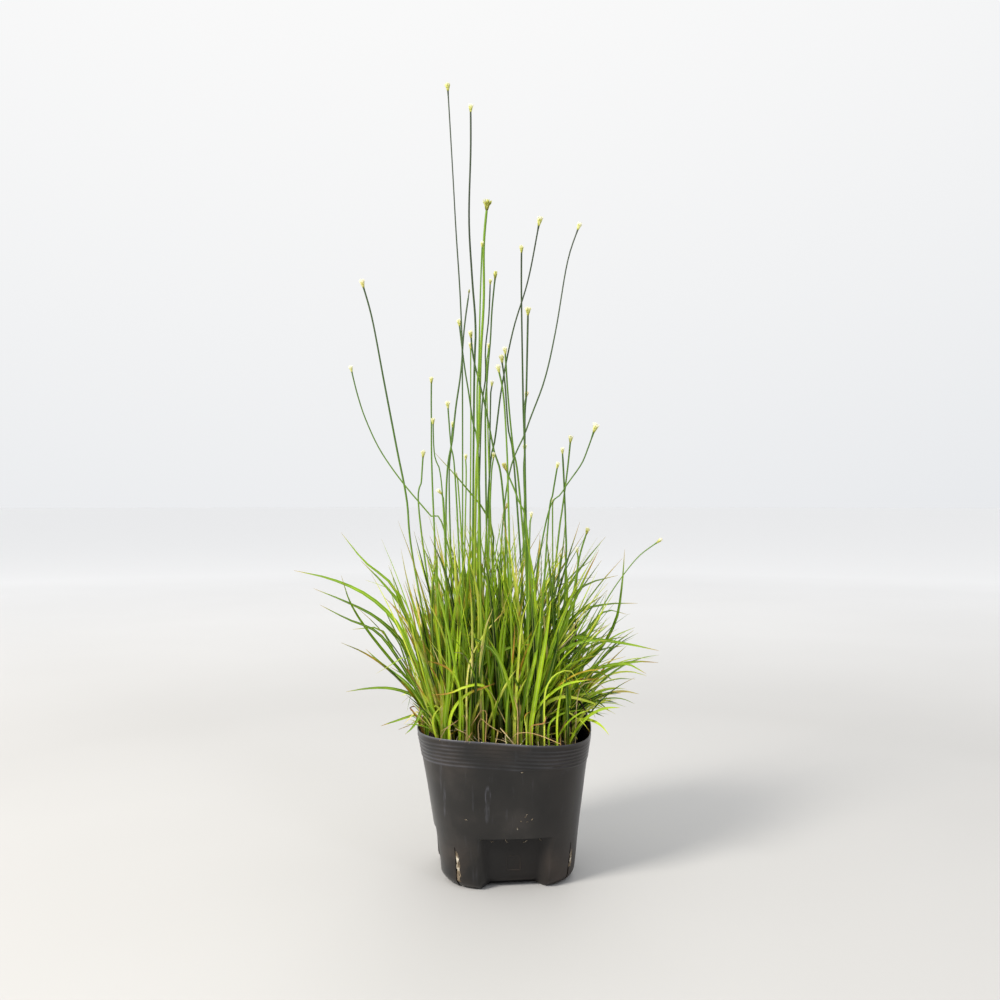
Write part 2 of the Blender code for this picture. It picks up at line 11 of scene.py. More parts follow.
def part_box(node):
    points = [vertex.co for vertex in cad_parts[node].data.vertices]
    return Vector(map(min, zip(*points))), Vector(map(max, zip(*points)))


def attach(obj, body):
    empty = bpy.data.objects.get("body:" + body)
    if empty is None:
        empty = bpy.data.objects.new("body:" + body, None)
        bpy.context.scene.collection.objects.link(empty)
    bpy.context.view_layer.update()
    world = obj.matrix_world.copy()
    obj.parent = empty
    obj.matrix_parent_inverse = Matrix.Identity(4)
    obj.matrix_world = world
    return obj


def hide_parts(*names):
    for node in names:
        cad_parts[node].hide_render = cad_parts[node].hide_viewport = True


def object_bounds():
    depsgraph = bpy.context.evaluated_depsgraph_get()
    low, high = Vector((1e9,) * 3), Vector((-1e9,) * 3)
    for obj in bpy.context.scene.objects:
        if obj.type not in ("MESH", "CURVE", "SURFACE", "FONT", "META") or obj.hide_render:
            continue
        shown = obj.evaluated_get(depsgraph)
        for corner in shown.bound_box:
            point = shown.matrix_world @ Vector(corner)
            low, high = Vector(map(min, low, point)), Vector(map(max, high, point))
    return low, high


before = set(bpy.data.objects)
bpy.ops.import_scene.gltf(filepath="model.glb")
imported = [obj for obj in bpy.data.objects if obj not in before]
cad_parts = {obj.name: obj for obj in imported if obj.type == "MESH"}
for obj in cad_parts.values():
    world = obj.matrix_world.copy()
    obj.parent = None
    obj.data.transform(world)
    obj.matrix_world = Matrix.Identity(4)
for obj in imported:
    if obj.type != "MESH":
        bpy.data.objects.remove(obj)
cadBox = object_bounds()
print("frame:", len(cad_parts), "nodes")

# The potted pipewort's looks. Lengths are in metres, written as millimetres times mm.
# +Z is up, the camera's side is -Y, and a bearing runs from the front towards the right.
mm = 0.001
goldenAngle = math.radians(137.508)
upright = Vector((0, 0, 1))

# Plant points are given as (across, up) in mm, as they are seen from here in the plane of the pot's axis.
eye = Vector((-3.1, -612, 223)) * mm


# Small helpers

def hexToLinear(text):
    parts = [int(text[i:i + 2], 16) / 255 for i in (1, 3, 5)]
    return (*(p / 12.92 if p <= 0.04045 else ((p + 0.055) / 1.055) ** 2.4 for p in parts), 1)


def fill(node, sockets):
    # Links each of a node's sockets, by number or name, or gives it a value. A colour is given in hex.
    for key, value in sockets.items():
        if isinstance(value, bpy.types.NodeSocket):
            node.id_data.links.new(value, node.inputs[key])
        else:
            isColour = isinstance(value, str) and value.startswith("#")
            node.inputs[key].default_value = hexToLinear(value) if isColour else value


def addNode(tree, kind, sockets=(), out=0, stops=(), **settings):
    # The one way a node is added: its kind, its sockets in order or by number or name, and its settings.
    # It gives back the output that is wanted, or all of them where out is None.
    starts = ("GeometryNode", "ShaderNode", "FunctionNode", "Node")
    node = tree.nodes.new(next(start + kind for start in starts if hasattr(bpy.types, start + kind)))
    for name, value in settings.items():
        setattr(node, name, value)
    fill(node, sockets if isinstance(sockets, dict) else dict(enumerate(sockets)))
    if stops:
        ramp = node.color_ramp.elements
        while len(ramp) < len(stops):
            ramp.new(0.5)
        for element, (place, colour) in zip(ramp, stops):
            element.position, element.color = place, hexToLinear(colour)
    return node.outputs if out is None or not node.outputs else node.outputs[out]


def smoothStep(value):
    value = min(max(value, 0), 1)
    return value * value * (3 - 2 * value)


def mixed(first, second, share):
    return first + (second - first) * share


def heading(bearing):
    return Vector((math.cos(bearing), math.sin(bearing), 0))


def directionAt(path, i):
    return (path[min(i + 1, len(path) - 1)] - path[max(i - 1, 0)]).normalized()


def onFront(bearing, away):
    # Across and depth of the place that lies this far from the middle, at a bearing from the front.
    return away * math.sin(bearing), -away * math.cos(bearing)


def addObject(name, data):
    thing = bpy.data.objects.new(name, data)
    bpy.context.scene.collection.objects.link(thing)
    return thing


def addPiece(name, mesh, slot, *nodes):
    piece = addObject(name, mesh)
    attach(piece, "root")
    if nodes:
        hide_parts(*nodes)


def addValues(mesh, name, values):
    mesh.attributes.new(name, "FLOAT", "POINT").data.foreach_set("value", values)


def meshOf(bm, name):
    mesh = bpy.data.meshes.new(name)
    bm.to_mesh(mesh)
    bm.free()
    return mesh


def finalMesh(thing, *helpers):
    # The plain mesh that an object's modifiers make, after which it and its helpers go.
    mesh = bpy.data.meshes.new_from_object(thing.evaluated_get(bpy.context.evaluated_depsgraph_get()))
    for used in (thing, *helpers):
        bpy.data.objects.remove(used)
    return mesh


def meshFromRings(name, rings):
    # A closed skin over rings of points. A ring of one point closes the skin there.
    bm = bmesh.new()
    rows = [[bm.verts.new(point) for point in ring] for ring in rings]
    for lower, upper in zip(rows, rows[1:]):
        count = max(len(lower), len(upper))
        for i in range(count):
            following = (i + 1) % count
            if len(lower) == 1:
                bm.faces.new((lower[0], upper[following], upper[i]))
            elif len(upper) == 1:
                bm.faces.new((lower[i], lower[following], upper[0]))
            else:
                bm.faces.new((lower[i], lower[following], upper[following], upper[i]))
    bmesh.ops.recalc_face_normals(bm, faces=bm.faces)
    mesh = meshOf(bm, name)
    mesh.shade_smooth()
    return mesh


# Geometry Nodes: a tree is made once, then grown on a guide mesh for each piece

def newTree(name, sizes):
    # A tree with a geometry in and out and these named inputs: (name, socket kind, first value).
    tree = bpy.data.node_groups.new(name, "GeometryNodeTree")
    tree.interface.new_socket(name="Geometry", in_out="INPUT", socket_type="NodeSocketGeometry")
    for label, kind, first in sizes:
        socket = tree.interface.new_socket(name=label, in_out="INPUT", socket_type="NodeSocket" + kind)
        if first is not None:
            socket.default_value = first
    tree.interface.new_socket(name="Geometry", in_out="OUTPUT", socket_type="NodeSocketGeometry")
    return tree, partial(addNode, tree), addNode(tree, "GroupInput", out=None)


def grow(name, guide, tree, values):
    # The plain mesh that the tree makes of the guide mesh.
    holder = addObject(name + "Guide", guide)
    modifier = holder.modifiers.new(tree.name, "NODES")
    modifier.node_group = tree
    for item in tree.interface.items_tree:
        if item.in_out == "INPUT" and item.name in values:
            modifier[item.identifier] = values[item.name]
    mesh = finalMesh(holder)
    mesh.name = name
    return mesh


class Guide:
    # Points, lines between them and a value or vector for each, for a tree to grow on.

    def __init__(self, numbers, vectors):
        self.points = []
        self.edges = []
        self.numbers = {name: [] for name in numbers}
        self.vectors = {name: [] for name in vectors}

    def addPoint(self, point, **values):
        self.points.append(tuple(point))
        for name, column in self.numbers.items():
            column.append(values.get(name, 0.0))
        for name, column in self.vectors.items():
            column.extend(values.get(name, (0, 0, 1)))

    def addLine(self, path, rows):
        first = len(self.points)
        for point, values in zip(path, rows):
            self.addPoint(point, **values)
        self.edges += [(i, i + 1) for i in range(first, len(self.points) - 1)]

    def mesh(self, name):
        mesh = bpy.data.meshes.new(name)
        mesh.from_pydata(self.points, self.edges, [])
        for label, column in self.numbers.items():
            addValues(mesh, label, column)
        for label, column in self.vectors.items():
            mesh.attributes.new(label, "FLOAT_VECTOR", "POINT").data.foreach_set("vector", column)
        return mesh


# Where things stand: the same layout as the solids, so that each dressed piece lies on its own solid

pot = {
    "height": 88 * mm, "baseHalfWidth": 40.3 * mm, "rimHalfWidth": 52.3 * mm, "squareness": 3.0,
    "wall": 0.8 * mm, "baseYaw": math.radians(7.5), "rimYaw": math.radians(-3), "wallBow": 1.25,
    "rimSag": 3.3 * mm, "sagBearing": math.radians(46), "sagSpread": math.radians(75),
    "panelHeight": 30 * mm, "panelDepth": 5.5 * mm, "panelEdge": math.radians(5.4),
    "panelHalfAngles": [math.radians(angle) for angle in (25.3, 18)], "ledge": 1.3 * mm,
    "footRounding": 6 * mm, "panelLift": 2.2 * mm, "floorShare": 0.8,
    "slitWidth": 1.7 * mm, "slitTop": 24 * mm, "slitReach": 9 * mm, "slitNarrowing": 0.35,
    "ribs": 6, "ribTop": 3.8 * mm, "ribPitch": 2.25 * mm, "ribRise": 0.38 * mm, "ribWidth": 0.55 * mm,
    # how far down the rim's pale band reaches and how pale the rib crests get: wear that also paints their
    # highlights
    "dent": 0.45 * mm, "dentSize": 26 * mm, "bearings": 288, "rimWearAndHighlight": 1.6 * mm, "ribWearAndHighlight": 0.55,
    # the bare square in low relief on the front panel: its corners as seen, across and up in mm, its ridges'
    # half width in mm and the painted shade it takes
    "mark": ((1.2, 5.8), (9.2, 5.8), (9.2, -2.7), (1.2, -2.7)), "markLine": 0.24, "markShade": 0.3,
}
soil = {
    "top": 80 * mm, "dome": 1.6 * mm, "clearance": 0.6 * mm, "gap": 9 * mm, "gapDepth": 16 * mm,
    "gapBearing": math.radians(84), "gapSpread": math.radians(44), "restingGap": 0.35 * mm,
    "bearings": 240, "topRings": 52, "roughness": 1.3 * mm, "clod": 7 * mm, "inset": 0.6 * mm,
    "lowest": 6.6 * mm, "overLedge": 0.9 * mm,
    "crumbs": 90000, "crumb": (0.35 * mm, 1.5 * mm), "crumbsFrom": 74 * mm, "seed": 4,
}
crown = {
    "count": 14, "spread": 38 * mm, "middle": Vector((-5, 0, 0)) * mm, "radius": 3.1 * mm,
    # the broad feet of the outer leaves round each crown, in mm
    "sheaths": 9, "sheathOut": 1.9, "sheathBelow": 2, "sheathLength": (11, 17), "sheathBreadth": 4.0,
}
stalk = {
    "radius": 0.62, "radiusAtHead": 0.5, "tolerance": 0.7 * mm, "rootLimit": 41 * mm,
    "depthLimit": 34 * mm, "tries": 3000, "seed": 7, "lean": 0.12, "fromCrown": 1.6 * mm,
    "headProfile": ((5.6, 0.5), (3.9, 1.15), (1.4, 1.6), (0, 0.9)),
    "stations": 56, "section": 12, "ribDepth": 0.1, "twist": 2.2, "rootDepth": 2.5 * mm,
}
leaf = {
    "perCrown": 10, "tries": 90, "stations": 5, "keel": 0.28, "clearance": 0.35 * mm,
    "reaches": (-57 * mm, 67 * mm, 76 * mm),
    "tipShifts": [shift * mm for shift in (0, 3, -3, 6, -6, 9, -9, 12, -12)],
    "fineStations": 17, "thickness": 0.14, "narrowing": 0.8, "seenNarrowing": 0.84,
    "dry": 0.08, "dryLeft": 0.45, "leftSide": -20 * mm, "rootOut": 0.9 * mm, "rootUp": 3 * mm,
    "fromEdge": 3 * mm, "twists": {"long": 0.2, "withered": 1.4, "fine": 0.5}, "longRoll": (0.85, 1.35),
    "roll": (0.5, 0.6),
    # angles in degrees: upright leaves in the middle, leaning and drooping ones outwards and to the right
    "lean": (3, 11), "leanOut": 24, "droop": (8, 30), "droopOut": 50, "droopRight": 45, "droopPower": 1.4,
    "length": (80, 138), "width": (1.8, 3.0),
}

# Each stalk from its head down: (across, up) in mm as seen, then the root's across, the head's scale
# and the stalk's girth.
stalks = (
    (((-35, 475), (-32, 424), (-30, 388), (-27, 339), (-26, 284)), -24, 1.0, 0.8),
    (((-21, 462), (-21, 436), (-22, 394), (-20, 357), (-18, 327), (-19, 284)), -18, 1.0, 1.15),
    (((-11, 403), (-13, 378), (-13, 345), (-15, 308), (-16, 266), (-18, 223)), -17, 1.25, 1.5),
    (((-14, 379), (-15, 351), (-16, 308), (-17, 266)), -12, 0.75, 0.9),
    (((21, 393), (14, 357), (5, 327), (-2, 292), (-6, 261), (-10, 231)), -17, 1.15, 0.95),
    (((45, 390), (38, 368), (31, 327), (24, 296), (13, 266), (0, 223)), -9, 1.0, 0.9),
    (((10, 376), (10, 345), (11, 284), (12, 223)), 10, 0.95, 1.1),
    (((14, 338), (13, 290), (12, 253)), 16, 1.0, 1.15),
    (((13, 287), (12, 260)), 13, 0.85, 1.0),
    (((12, 255), (12, 223)), 19, 0.85, 1.0),
    (((-6, 360), (-8, 339), (-9, 320), (-11, 296), (-12, 260)), -10, 1.0, 1.0),
    (((-9, 356), (-10, 334), (-12, 315), (-12, 297), (-15, 260)), -21, 0.7, 0.9),
    (((-10, 317), (-11, 284)), -5, 0.7, 0.9),
    (((-22, 350), (-25, 327), (-27, 301), (-30, 280), (-32, 261), (-36, 223)), -36, 0.6, 1.05),
    (((-28, 331), (-25, 306), (-22, 287), (-20, 272), (-16, 241)), -11, 0.95, 1.0),
    (((-21, 324), (-19, 308), (-13, 284), (-7, 254), (-1, 223)), 9, 0.95, 1.05),
    (((-21, 317), (-21, 284), (-21, 247)), -24, 0.9, 0.85),
    (((0, 314), (2, 284), (5, 254), (9, 226)), 20, 0.95, 1.1),
    (((-2, 309), (0, 293), (2, 266), (6, 238)), 15, 1.05, 1.1),
    (((-4, 303), (-1, 287), (1, 256), (2, 223)), 4, 1.0, 1.05),
    (((-8, 294), (-9, 277)), -13, 0.8, 1.0),
    (((-87, 355), (-81, 333), (-74, 296), (-66, 254), (-60, 223), (-56, 186)), -34, 1.05, 1.1),
    (((-94, 303), (-90, 287), (-85, 272), (-76, 253), (-62, 233), (-46, 214), (-36, 200)), -11, 0.8, 0.8),
    (((-45, 296), (-45, 273), (-44, 223)), -33, 0.8, 0.95),
    (((-44, 271), (-43, 250), (-38, 223)), -29, 0.8, 0.8),
    (((-35, 281), (-33, 256), (-30, 229)), -24, 0.85, 0.9),
    (((-32, 269), (-33, 254), (-34, 223)), -31, 0.8, 0.95),
    (((-50, 251), (-51, 235), (-52, 211)), -35, 0.95, 1.05),
    (((-40, 228), (-37, 211)), -32, 0.8, 0.9),
    (((-24, 249), (-24, 223)), -27, 0.8, 0.95),
    (((-30, 238), (-28, 223)), -22, 0.9, 1.0),
    (((-7, 250), (-9, 223)), -12, 0.75, 0.9),
    (((0, 243), (2, 238), (8, 223), (14, 199)), 24, 1.0, 1.0),
    (((1, 219), (0, 205)), -1, 0.8, 0.9),
    (((55, 267), (50, 253), (46, 244), (35, 228), (24, 205)), 6, 1.15, 0.85),
    (((40, 260), (38, 241), (35, 218), (32, 195)), 24, 1.0, 1.1),
    (((35, 253), (36, 233), (37, 205), (37, 180)), 33, 0.8, 1.1),
    (((32, 244), (29, 226), (26, 205)), 15, 0.8, 0.95),
    (((29, 222), (29, 205)), 27, 0.7, 0.85),
    (((16, 214), (15, 199)), 12, 0.7, 0.9),
    (((50, 204), (45, 186), (42, 158)), 30, 0.85, 1.1),
    (((44, 192), (43, 174)), 26, 0.75, 1.0),
    (((94, 198), (82, 189), (72, 177), (62, 162), (52, 142)), 31, 0.9, 0.68),
    (((34, 189), (33, 175)), 29, 0.7, 0.85),
)

# The long leaves that stand out of the clump: (across, up) in mm as seen from the tip down, then the
# tip's depth and the width in mm.
longLeaves = (
    (((-129, 180), (-101, 173), (-76, 159), (-61, 138)), -6, 2.6),
    (((-117, 169), (-88, 157), (-77, 150), (-67, 142)), 14, 2.4),
    (((-100, 203), (-88, 188), (-75, 174), (-65, 164)), 22, 2.1),
    (((-113, 159), (-88, 146), (-72, 136)), -22, 1.9),
    (((-100, 177), (-96, 164), (-88, 149), (-65, 120)), -14, 2.1),
    (((-85, 132), (-72, 120), (-60, 111)), 6, 2.4),
    (((-97, 106), (-84, 108), (-69, 108), (-57, 104)), -10, 2.0),
    (((-44, 253), (-34, 241), (-21, 227), (-8, 205)), 8, 2.4),
    (((94, 131), (83, 134), (67, 136), (51, 138), (36, 134)), -14, 2.5),
    (((86, 117), (75, 123), (59, 121), (45, 114)), -24, 2.4),
    (((67, 112), (62, 116), (48, 117)), 2, 2.1),
    (((64, 94), (56, 100), (45, 101)), -16, 1.9),
    (((81, 160), (59, 159), (44, 153)), 12, 2.1),
    (((73, 193), (71, 168), (68, 151), (58, 132)), -4, 2.6),
    (((69, 177), (51, 172), (39, 164)), 20, 2.2),
    (((54, 187), (47, 183), (36, 170)), 28, 2.3),
    (((62, 137), (49, 137), (35, 131), (26, 124), (21, 113)), -38, 3.6),
    (((16, 135), (3, 133), (-13, 123), (-29, 103)), -41, 3.0),
    (((60, 165), (40, 150), (29, 128)), -4, 2.8),
    (((75, 153), (66, 156), (56, 152), (43, 134)), 26, 2.3),
    (((75, 140), (58, 136), (42, 127)), 16, 2.1),
    (((73, 134), (60, 132), (40, 121)), -2, 2.2),
    (((-88, 186), (-65, 161), (-54, 135)), 18, 2.4),
    (((-93, 144), (-82, 146), (-73, 141), (-58, 116)), 4, 2.0),
    (((55, 90), (48, 106), (37, 105)), -8, 1.9),
)


def angleBetween(first, second):
    return abs((first - second + math.pi) % (2 * math.pi) - math.pi)


def panelShare(bearing):
    # 1 in the middle of a side's recessed panel, 0 on the corner feet.
    quarter = round((bearing - pot["baseYaw"]) / (math.pi / 2))
    fromPanel = abs(bearing - pot["baseYaw"] - quarter * math.pi / 2)
    return smoothStep((pot["panelHalfAngles"][quarter % 2] - fromPanel) / pot["panelEdge"] + 0.5)


def recessShare(bearing, height):
    return panelShare(bearing) * smoothStep((pot["panelHeight"] - height) / pot["ledge"] + 0.5)


def planPoint(bearing, height, inset):
    # A point of the pot's outer wall, moved inwards.
    share = height / pot["height"]
    halfWidth = mixed(pot["baseHalfWidth"], pot["rimHalfWidth"], share ** pot["wallBow"])
    turned = bearing - pot["baseYaw"] - (pot["rimYaw"] - pot["baseYaw"]) * share
    spread = abs(math.sin(turned)) ** pot["squareness"] + abs(math.cos(turned)) ** pot["squareness"]
    radius = halfWidth / spread ** (1 / pot["squareness"])
    radius -= pot["panelDepth"] * recessShare(bearing, height)
    if height < pot["footRounding"]:
        missing = 1 - height / pot["footRounding"]
        radius -= pot["footRounding"] * (1 - math.sqrt(1 - missing * missing))
    radius -= inset
    lift = pot["panelLift"] * panelShare(bearing) * max(0, 1 - height / (3 * pot["footRounding"]))
    sagging = smoothStep(1 - angleBetween(bearing, pot["sagBearing"]) / pot["sagSpread"])
    sag = pot["rimSag"] * share**4 * sagging
    return Vector((radius * math.sin(bearing), -radius * math.cos(bearing), height + lift - sag))


def soilHeight(x, y):
    across = math.hypot(x, y) / pot["rimHalfWidth"]
    ripple = 0.5 * mm * math.sin(x / (9 * mm)) * math.cos(y / (11 * mm) + 0.7)
    return soil["top"] + soil["dome"] * (1 - across * across) + ripple


def sightPoint(across, up, depth):
    # The point at this depth that is seen where (across, up) lies in the plane of the pot's axis.
    inPlane = Vector((across * mm, 0, up * mm))
    return eye + (inPlane - eye) * ((depth - eye.y) / -eye.y)


def smoothPath(corners, count):
    # Points evenly spaced along a Catmull-Rom curve through the corners.
    padded = [corners[0] * 2 - corners[1], *corners, corners[-1] * 2 - corners[-2]]
    fine = []
    pieces = 12
    for before, start, end, after in zip(padded, padded[1:], padded[2:], padded[3:]):
        for step in range(pieces):
            t = step / pieces
            fine.append(0.5 * (2 * start + (end - before) * t
                               + (2 * before - 5 * start + 4 * end - after) * t * t
                               + (3 * start - before - 3 * end + after) * t * t * t))
    fine.append(corners[-1])
    travelled = [0]
    for first, second in zip(fine, fine[1:]):
        travelled.append(travelled[-1] + (second - first).length)
    wanted = np.linspace(0, travelled[-1], count)
    axes = [np.interp(wanted, travelled, [p[axis] for p in fine]) for axis in range(3)]
    return [Vector(point) for point in zip(*axes)]


def thinned(path):
    # The fewest of the path's points that keep its bends.
    if len(path) < 3:
        return path
    chord = (path[-1] - path[0]).normalized()
    misses = [(p - path[0] - chord * (p - path[0]).dot(chord)).length for p in path]
    worst = misses.index(max(misses))
    if misses[worst] < stalk["tolerance"]:
        return [path[0], path[-1]]
    return thinned(path[:worst + 1]) + thinned(path[worst:])[1:]


def segmentGaps(starts, ends, otherStarts, otherEnds):
    # The shortest distance from each segment to each of the others.
    along = (ends - starts)[:, None]
    otherAlong = (otherEnds - otherStarts)[None]
    offset = starts[:, None] - otherStarts[None]
    a = (along * along).sum(-1)
    b = (along * otherAlong).sum(-1)
    c = (along * offset).sum(-1)
    e = (otherAlong * otherAlong).sum(-1)
    f = (otherAlong * offset).sum(-1)
    spread = np.maximum(a * e - b * b, 1e-18)
    s = np.clip((b * f - c * e) / spread, 0, 1)
    t = np.clip((b * s + f) / e, 0, 1)
    s = np.clip((b * t - c) / a, 0, 1)
    apart = offset + along * s[..., None] - otherAlong * t[..., None]
    return np.sqrt((apart * apart).sum(-1))


class Thicket:
    # The stalks and leaves placed so far, as thick segments, for finding room for the next one.

    def __init__(self):
        self.starts = np.empty((0, 3))
        self.ends = np.empty((0, 3))
        self.radii = np.empty(0)
        self.owners = np.empty(0, int)
        self.atRoot = np.empty(0, bool)

    def segments(self, path, radii):
        points = np.array([tuple(p) for p in path])
        widest = np.maximum(radii[:-1], radii[1:])
        return points[:-1], points[1:], widest

    def hasRoom(self, path, radii, owner, clearance=leaf["clearance"]):
        # A leaf may touch others at its own crown, where they are one growth, but nothing else.
        if not len(self.owners):
            return True
        starts, ends, widest = self.segments(path, np.array(radii))
        gaps = segmentGaps(starts, ends, self.starts, self.ends)
        needed = widest[:, None] + self.radii[None] + clearance
        joined = np.repeat((self.atRoot & (self.owners == owner))[None], len(widest), axis=0)
        joined[0] |= self.owners == owner
        return bool((joined | (gaps > needed)).all())

    def add(self, path, radii, owner):
        starts, ends, widest = self.segments(path, np.array(radii))
        self.starts = np.concatenate([self.starts, starts])
        self.ends = np.concatenate([self.ends, ends])
        self.radii = np.concatenate([self.radii, widest])
        self.owners = np.concatenate([self.owners, np.full(len(widest), owner)])
        self.atRoot = np.concatenate([self.atRoot, np.arange(len(widest)) == 0])


def onSoil(x, y, radius):
    around = [soilHeight(x + radius * dx, y + radius * dy) for dx in (-1, 0, 1) for dy in (-1, 0, 1)]
    return Vector((x, y, max(around) + soil["restingGap"]))


def crownPlaces():
    places = []
    for i in range(crown["count"]):
        radius = crown["spread"] * math.sqrt((i + 0.5) / crown["count"])
        bearing = i * goldenAngle
        x = crown["middle"].x + radius * math.cos(bearing)
        y = crown["middle"].y + radius * math.sin(bearing)
        places.append(onSoil(x, y, crown["radius"]))
    return places


def stalkCorners(seen, root, headDepth):
    # The points that a stalk passes, from its root to its head's top.
    corners = [root]
    for across, up in reversed(seen):
        share = (up * mm - root.z) / (seen[0][1] * mm - root.z)
        corners.append(sightPoint(across, up, mixed(root.y, headDepth, share)))
    return corners


def withHead(path, headScale, girth):
    # The stalk's points and radii as in its solid, ending in the swelling of the flower head.
    direction = (path[-1] - path[-2]).normalized()
    neck = stalk["headProfile"][0][0] * headScale * mm
    top = path[-1] + direction * neck / 2
    points = [p for p in path[:-1] if (top - p).length > 2 * neck]
    radii = [mixed(stalk["radius"], stalk["radiusAtHead"], i / (len(path) - 1)) * girth * mm
             for i in range(len(points))]
    for below, radius in stalk["headProfile"]:
        points.append(top - direction * below * headScale * mm)
        radii.append(radius * headScale * mm)
    return points, radii


def placeStalks(thicket, crowns):
    # Finds each stalk's depth at its root and its head, so that it clears those before it.
    draw = random.Random(stalk["seed"])
    placed = []
    for number, (seen, rootAcross, headScale, girth) in enumerate(stalks):
        rootX = rootAcross * mm
        limit = math.sqrt(max(0, stalk["rootLimit"]**2 - (rootX - crown["middle"].x) ** 2))
        for _ in range(stalk["tries"]):
            root = onSoil(rootX + draw.uniform(-3, 3) * mm, draw.uniform(-limit, limit), 1 * mm)
            lean = draw.uniform(-stalk["lean"], stalk["lean"]) * (seen[0][1] * mm - root.z)
            headDepth = min(max(root.y + lean, -stalk["depthLimit"]), stalk["depthLimit"])
            nearCrown = min((root.xy - place.xy).length for place in crowns)
            if nearCrown < crown["radius"] + stalk["fromCrown"]:
                continue
            corners = stalkCorners(seen, root, headDepth)
            points, radii = withHead(thinned(smoothPath(corners, 40)), headScale, girth)
            if thicket.hasRoom(points, radii, number):
                thicket.add(points, radii, number)
                placed.append({"corners": corners, "points": points, "scale": headScale, "girth": girth})
                break
        else:
            raise RuntimeError(f"no room for flower stalk {number + 1}")
    return placed


def leafWidth(share):
    # A blade's width along its length, as a share of its greatest.
    return (0.72 + 0.28 * math.sin(math.pi * min(share * 1.6, 1) / 2)) * (1 - share**3)


def leafRadii(count, width):
    return [max(width * leafWidth(i / (count - 1)) / 2, 0.12) * mm for i in range(count)]


def grownLeaf(root, bearing, lean, droop, length, count):
    # A blade that leaves its crown at the angle lean from upright and bends over by droop more.
    path = [root.copy()]
    step = length / (count - 1)
    for i in range(count - 1):
        angle = lean + droop * ((i + 0.5) / (count - 1)) ** leaf["droopPower"]
        path.append(path[-1] + (heading(bearing) * math.sin(angle) + upright * math.cos(angle)) * step)
    return path


def leafRoot(place, bearing):
    out = leaf["rootOut"]
    return place + Vector((out * math.cos(bearing), out * math.sin(bearing), leaf["rootUp"]))


def longLeafPaths(seen, tipDepth, crowns):
    # Ways to grow a long leaf, the best first: its tip a little nearer or farther, from each crown.
    for shift in leaf["tipShifts"]:
        depth = tipDepth * mm + shift
        tip, foot = (sightPoint(*place, depth) for place in (seen[0], seen[-1]))
        for number in sorted(range(crown["count"]), key=lambda n: (crowns[n].xy - foot.xy).length):
            place = crowns[number]
            root = leafRoot(place, math.atan2(tip.y - place.y, tip.x - place.x))
            corners = [sightPoint(*seenPlace, mixed(root.y, depth, i / len(seen)))
                       for i, seenPlace in enumerate(reversed(seen), 1)]
            yield number, smoothPath([root, *corners], leaf["stations"] + 2)


def placeLongLeaves(thicket, crowns):
    leaves = {number: [] for number in range(crown["count"])}
    for seen, tipDepth, width in longLeaves:
        for number, path in longLeafPaths(seen, tipDepth, crowns):
            radii = leafRadii(len(path), width)
            if len(leaves[number]) < 3 and thicket.hasRoom(path, radii, len(stalks) + number):
                thicket.add(path, radii, len(stalks) + number)
                leaves[number].append((path, width))
                break
        else:
            raise RuntimeError(f"no room for the long leaf seen at {seen[0]}")
    return leaves


def staysInClump(path):
    # Whether a blade keeps to the upright clump, out of which only the long leaves stand.
    left, right, depth = leaf["reaches"]
    return all(left < point.x < right and abs(point.y) < depth for point in path)


def fromMiddle(place):
    # How far out in the clump a crown stands, 1 at its edge, and in which direction.
    away = place.xy - crown["middle"].xy
    return away.length / crown["spread"], math.atan2(away.y, away.x)


def placeLeaves(thicket, crowns):
    # Fills each crown with blades a golden angle apart, outer crowns leaning outwards.
    leaves = placeLongLeaves(thicket, crowns)
    draw = random.Random(stalk["seed"] + 1)
    for number, place in enumerate(crowns):
        outness, outwardBearing = fromMiddle(place)
        owner = len(stalks) + number
        start = draw.uniform(0, math.tau)
        for k in range(leaf["perCrown"] - len(leaves[number]) // 2):
            for _ in range(leaf["tries"]):
                bearing = start + k * goldenAngle + draw.uniform(-0.5, 0.5)
                outward = max(math.cos(bearing - outwardBearing) * outness, 0)
                rightward = max(math.cos(bearing), 0) * outward
                lean = draw.uniform(*leaf["lean"]) + leaf["leanOut"] * outward * draw.uniform(0.4, 1.2)
                bow = leaf["droopOut"] * outward + leaf["droopRight"] * rightward
                droop = draw.uniform(*leaf["droop"]) + bow * draw.random()
                length = draw.uniform(*leaf["length"]) * (1 - 0.2 * outward - 0.15 * rightward) * mm
                width = draw.uniform(*leaf["width"])
                path = grownLeaf(leafRoot(place, bearing), bearing, math.radians(lean), math.radians(droop),
                                 length, leaf["stations"])
                radii = leafRadii(leaf["stations"], width)
                if staysInClump(path) and thicket.hasRoom(path, radii, owner):
                    thicket.add(path, radii, owner)
                    leaves[number].append((path, width))
                    break
    return leaves


# Materials

def newMaterial(name, *attributes):
    # A material, the way to add nodes to it, its object coordinates and the mesh attributes that it reads.
    material = bpy.data.materials.new(name)
    material.use_nodes = True
    node = partial(addNode, material.node_tree)
    values = [node("Attribute", attribute_name=label, out="Fac") for label in attributes]
    return material, node, node("TexCoord", out="Object"), *values


def finish(material, colour, gloss, relief, more):
    # Fills the shader: colour, roughness, relief (its height, strength and depth) and its other sockets.
    height, strength, depth = relief
    bump = addNode(material.node_tree, "Bump", {"Strength": strength, "Distance": depth, "Height": height})
    shader = material.node_tree.nodes["Principled BSDF"]
    fill(shader, {"Base Color": colour, "Roughness": gloss, "Normal": bump, **more})
    return material


